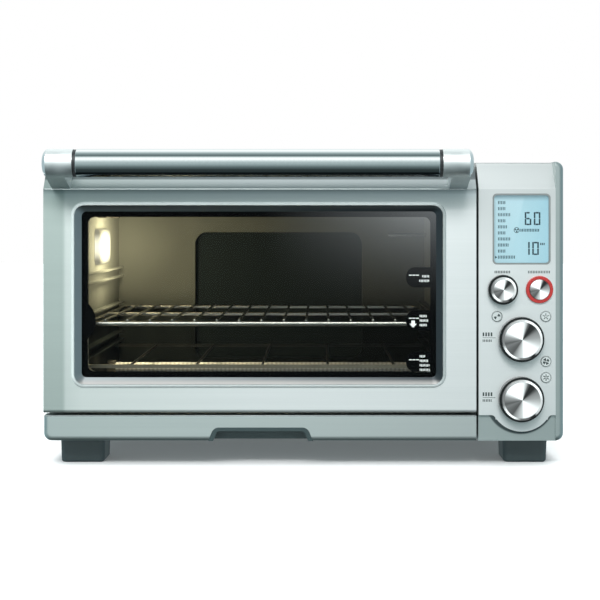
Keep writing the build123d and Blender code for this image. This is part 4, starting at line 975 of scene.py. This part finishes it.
def studio_world():
    """A soft studio all round: bright above and in front, dark below, white to the camera."""
    world = bpy.data.worlds.new("studio")
    world.use_nodes = True
    bpy.context.scene.world = world
    tree = world.node_tree
    tree.nodes.clear()

    def add(kind, **settings):
        node = tree.nodes.new(kind)
        for name, value in settings.items():
            setattr(node, name, value)
        return node

    direction = add("ShaderNodeTexCoord")
    split = add("ShaderNodeSeparateXYZ")
    tree.links.new(direction.outputs["Generated"], split.inputs["Vector"])
    forward = add("ShaderNodeMath", operation="MULTIPLY")
    forward.inputs[1].default_value = -1.0
    tree.links.new(split.outputs["Y"], forward.inputs[0])
    roll = add("ShaderNodeMath", operation="ARCTAN2")
    tree.links.new(split.outputs["Z"], roll.inputs[0])
    tree.links.new(forward.outputs["Value"], roll.inputs[1])
    share = add("ShaderNodeMapRange")
    share.inputs["From Min"].default_value = -math.pi
    share.inputs["From Max"].default_value = math.pi
    tree.links.new(roll.outputs["Value"], share.inputs["Value"])
    bands = [
        (-180, 0.45), (-145, 0.16), (-123, 0.14), (-107, 0.07), (-92, 0.020), (-63, 0.030),
        (-54, 0.036), (-45, 0.072), (-36, 0.102), (-28, 0.155), (-20, 0.225), (-12, 0.29),
        (-4, 0.35), (4, 0.375), (12, 0.48), (20, 0.64), (28, 0.80), (34, 0.90), (50, 0.60),
        (55, 0.20), (63, 0.13), (72, 0.18), (83, 0.28), (94, 0.44), (106, 0.66),
        (120, 0.86), (140, 0.76), (180, 0.45),
    ]
    ramp = add("ShaderNodeValToRGB")
    elements = ramp.color_ramp.elements
    while len(elements) < len(bands):
        elements.new(0.5)
    for element, (angle, level) in zip(elements, bands):
        element.position = (angle + 180) / 360
        cool = 1.0 - level
        element.color = (level * (1.0 - 0.30 * cool), level, level * (1.0 + 0.04 * cool), 1.0)
    tree.links.new(share.outputs["Result"], ramp.inputs["Fac"])
    sideways = add("ShaderNodeMath", operation="ABSOLUTE")
    tree.links.new(split.outputs["X"], sideways.inputs[0])
    side_share = add("ShaderNodeMapRange", interpolation_type="SMOOTHSTEP")
    side_share.inputs["From Min"].default_value = 0.45
    side_share.inputs["From Max"].default_value = 0.85
    tree.links.new(sideways.outputs["Value"], side_share.inputs["Value"])
    mixed = add("ShaderNodeMix", data_type="RGBA")
    tree.links.new(side_share.outputs["Result"], mixed.inputs["Factor"])
    tree.links.new(ramp.outputs["Color"], mixed.inputs[6])
    mixed.inputs[7].default_value = (0.26, 0.35, 0.38, 1.0)
    studio = add("ShaderNodeBackground")
    studio.inputs["Strength"].default_value = WORLD_STRENGTH
    tree.links.new(mixed.outputs[2], studio.inputs["Color"])
    white = add("ShaderNodeBackground")
    white.inputs["Color"].default_value = (1.0, 1.0, 1.0, 1.0)
    path = add("ShaderNodeLightPath")
    chosen = add("ShaderNodeMixShader")
    tree.links.new(path.outputs["Is Camera Ray"], chosen.inputs["Fac"])
    tree.links.new(studio.outputs["Background"], chosen.inputs[1])
    tree.links.new(white.outputs["Background"], chosen.inputs[2])
    output = add("ShaderNodeOutputWorld")
    tree.links.new(chosen.outputs["Shader"], output.inputs["Surface"])


def floor():
    """A plain pale floor, which the steel doesn't mirror."""
    mesh = bpy.data.meshes.new("floor")
    half = FLOOR_HALF
    corners = [(-half, -half, 0), (half, -half, 0), (half, half, 0), (-half, half, 0)]
    mesh.from_pydata(corners, [], [(0, 1, 2, 3)])
    s = Shader("pale_floor")
    cloud = s.noise(s.position((0.8, 0.8, 0.8)), detail=2.0)
    pale = s.mix(cloud, (0.86, 0.87, 0.87), (0.90, 0.90, 0.90))
    s.set(
        Base_Color=pale, Roughness=0.9, Specular_IOR_Level=0.1,
        Emission_Color=pale, Emission_Strength=0.10,
    )
    mesh.materials.append(s.material)
    piece = bpy.data.objects.new("floor", mesh)
    bpy.context.scene.collection.objects.link(piece)
    piece.visible_glossy = False


def area_light(name, place, target, size, power):
    """A rectangular light that shines from one place towards another."""
    data = bpy.data.lights.new(name, "AREA")
    data.shape = "RECTANGLE"
    data.size, data.size_y = size
    data.energy = power
    light = bpy.data.objects.new(name, data)
    light.location = place
    light.rotation_euler = (Vector(target) - Vector(place)).to_track_quat("-Z", "Y").to_euler()
    light.visible_camera = False
    bpy.context.scene.collection.objects.link(light)
    return light


def keep_off(light, nodes):
    """Leaves some pieces out of what a light shines on."""
    receivers = bpy.data.collections.new(light.name + "_receivers")
    light.light_linking.receiver_collection = receivers
    for node in nodes:
        receivers.objects.link(NODES[node])
    for member in receivers.collection_objects:
        member.light_linking.link_state = "EXCLUDE"


def lights():
    key = area_light("key_strip", KEY_PLACE, KEY_TARGET, KEY_SIZE, KEY_POWER)
    keep_off(key, ("handle_tube",))
    sky = bpy.data.lights.new("sky", "SUN")
    sky.energy = SKY_POWER
    sky.angle = math.radians(SKY_ANGLE)
    sun = bpy.data.objects.new("sky", sky)
    sun.visible_glossy = False
    bpy.context.scene.collection.objects.link(sun)
    middle = centre_of("lamp_lens")
    lamp_place = Vector((LENS_HIGH.x + LAMP_STANDOFF, middle.y, middle.z))
    lamp = bpy.data.lights.new("oven_lamp", "POINT")
    lamp.energy = LAMP_POWER
    lamp.color = (1.0, 0.86, 0.56)
    lamp.shadow_soft_size = LAMP_SOFTNESS
    bulb = bpy.data.objects.new("oven_lamp", lamp)
    bulb.location = lamp_place
    bulb.visible_glossy = False
    bpy.context.scene.collection.objects.link(bulb)


def camera():
    """The view straight on from in front, from a little below the window's top edge."""
    data = bpy.data.cameras.new("camera")
    data.sensor_width = 36.0
    data.lens = CAMERA_LENS
    data.shift_x, data.shift_y = CAMERA_SHIFT
    data.clip_end = CLIP_END
    view = bpy.data.objects.new("camera", data)
    view.location = (CAMERA_X, FRONT_Y - CAMERA_DISTANCE, CAMERA_Z)
    view.rotation_euler = (math.pi / 2, 0.0, 0.0)
    bpy.context.scene.collection.objects.link(view)
    bpy.context.scene.camera = view


studio_world()
floor()
lights()
camera()
bpy.context.scene.view_settings.view_transform = "Standard"
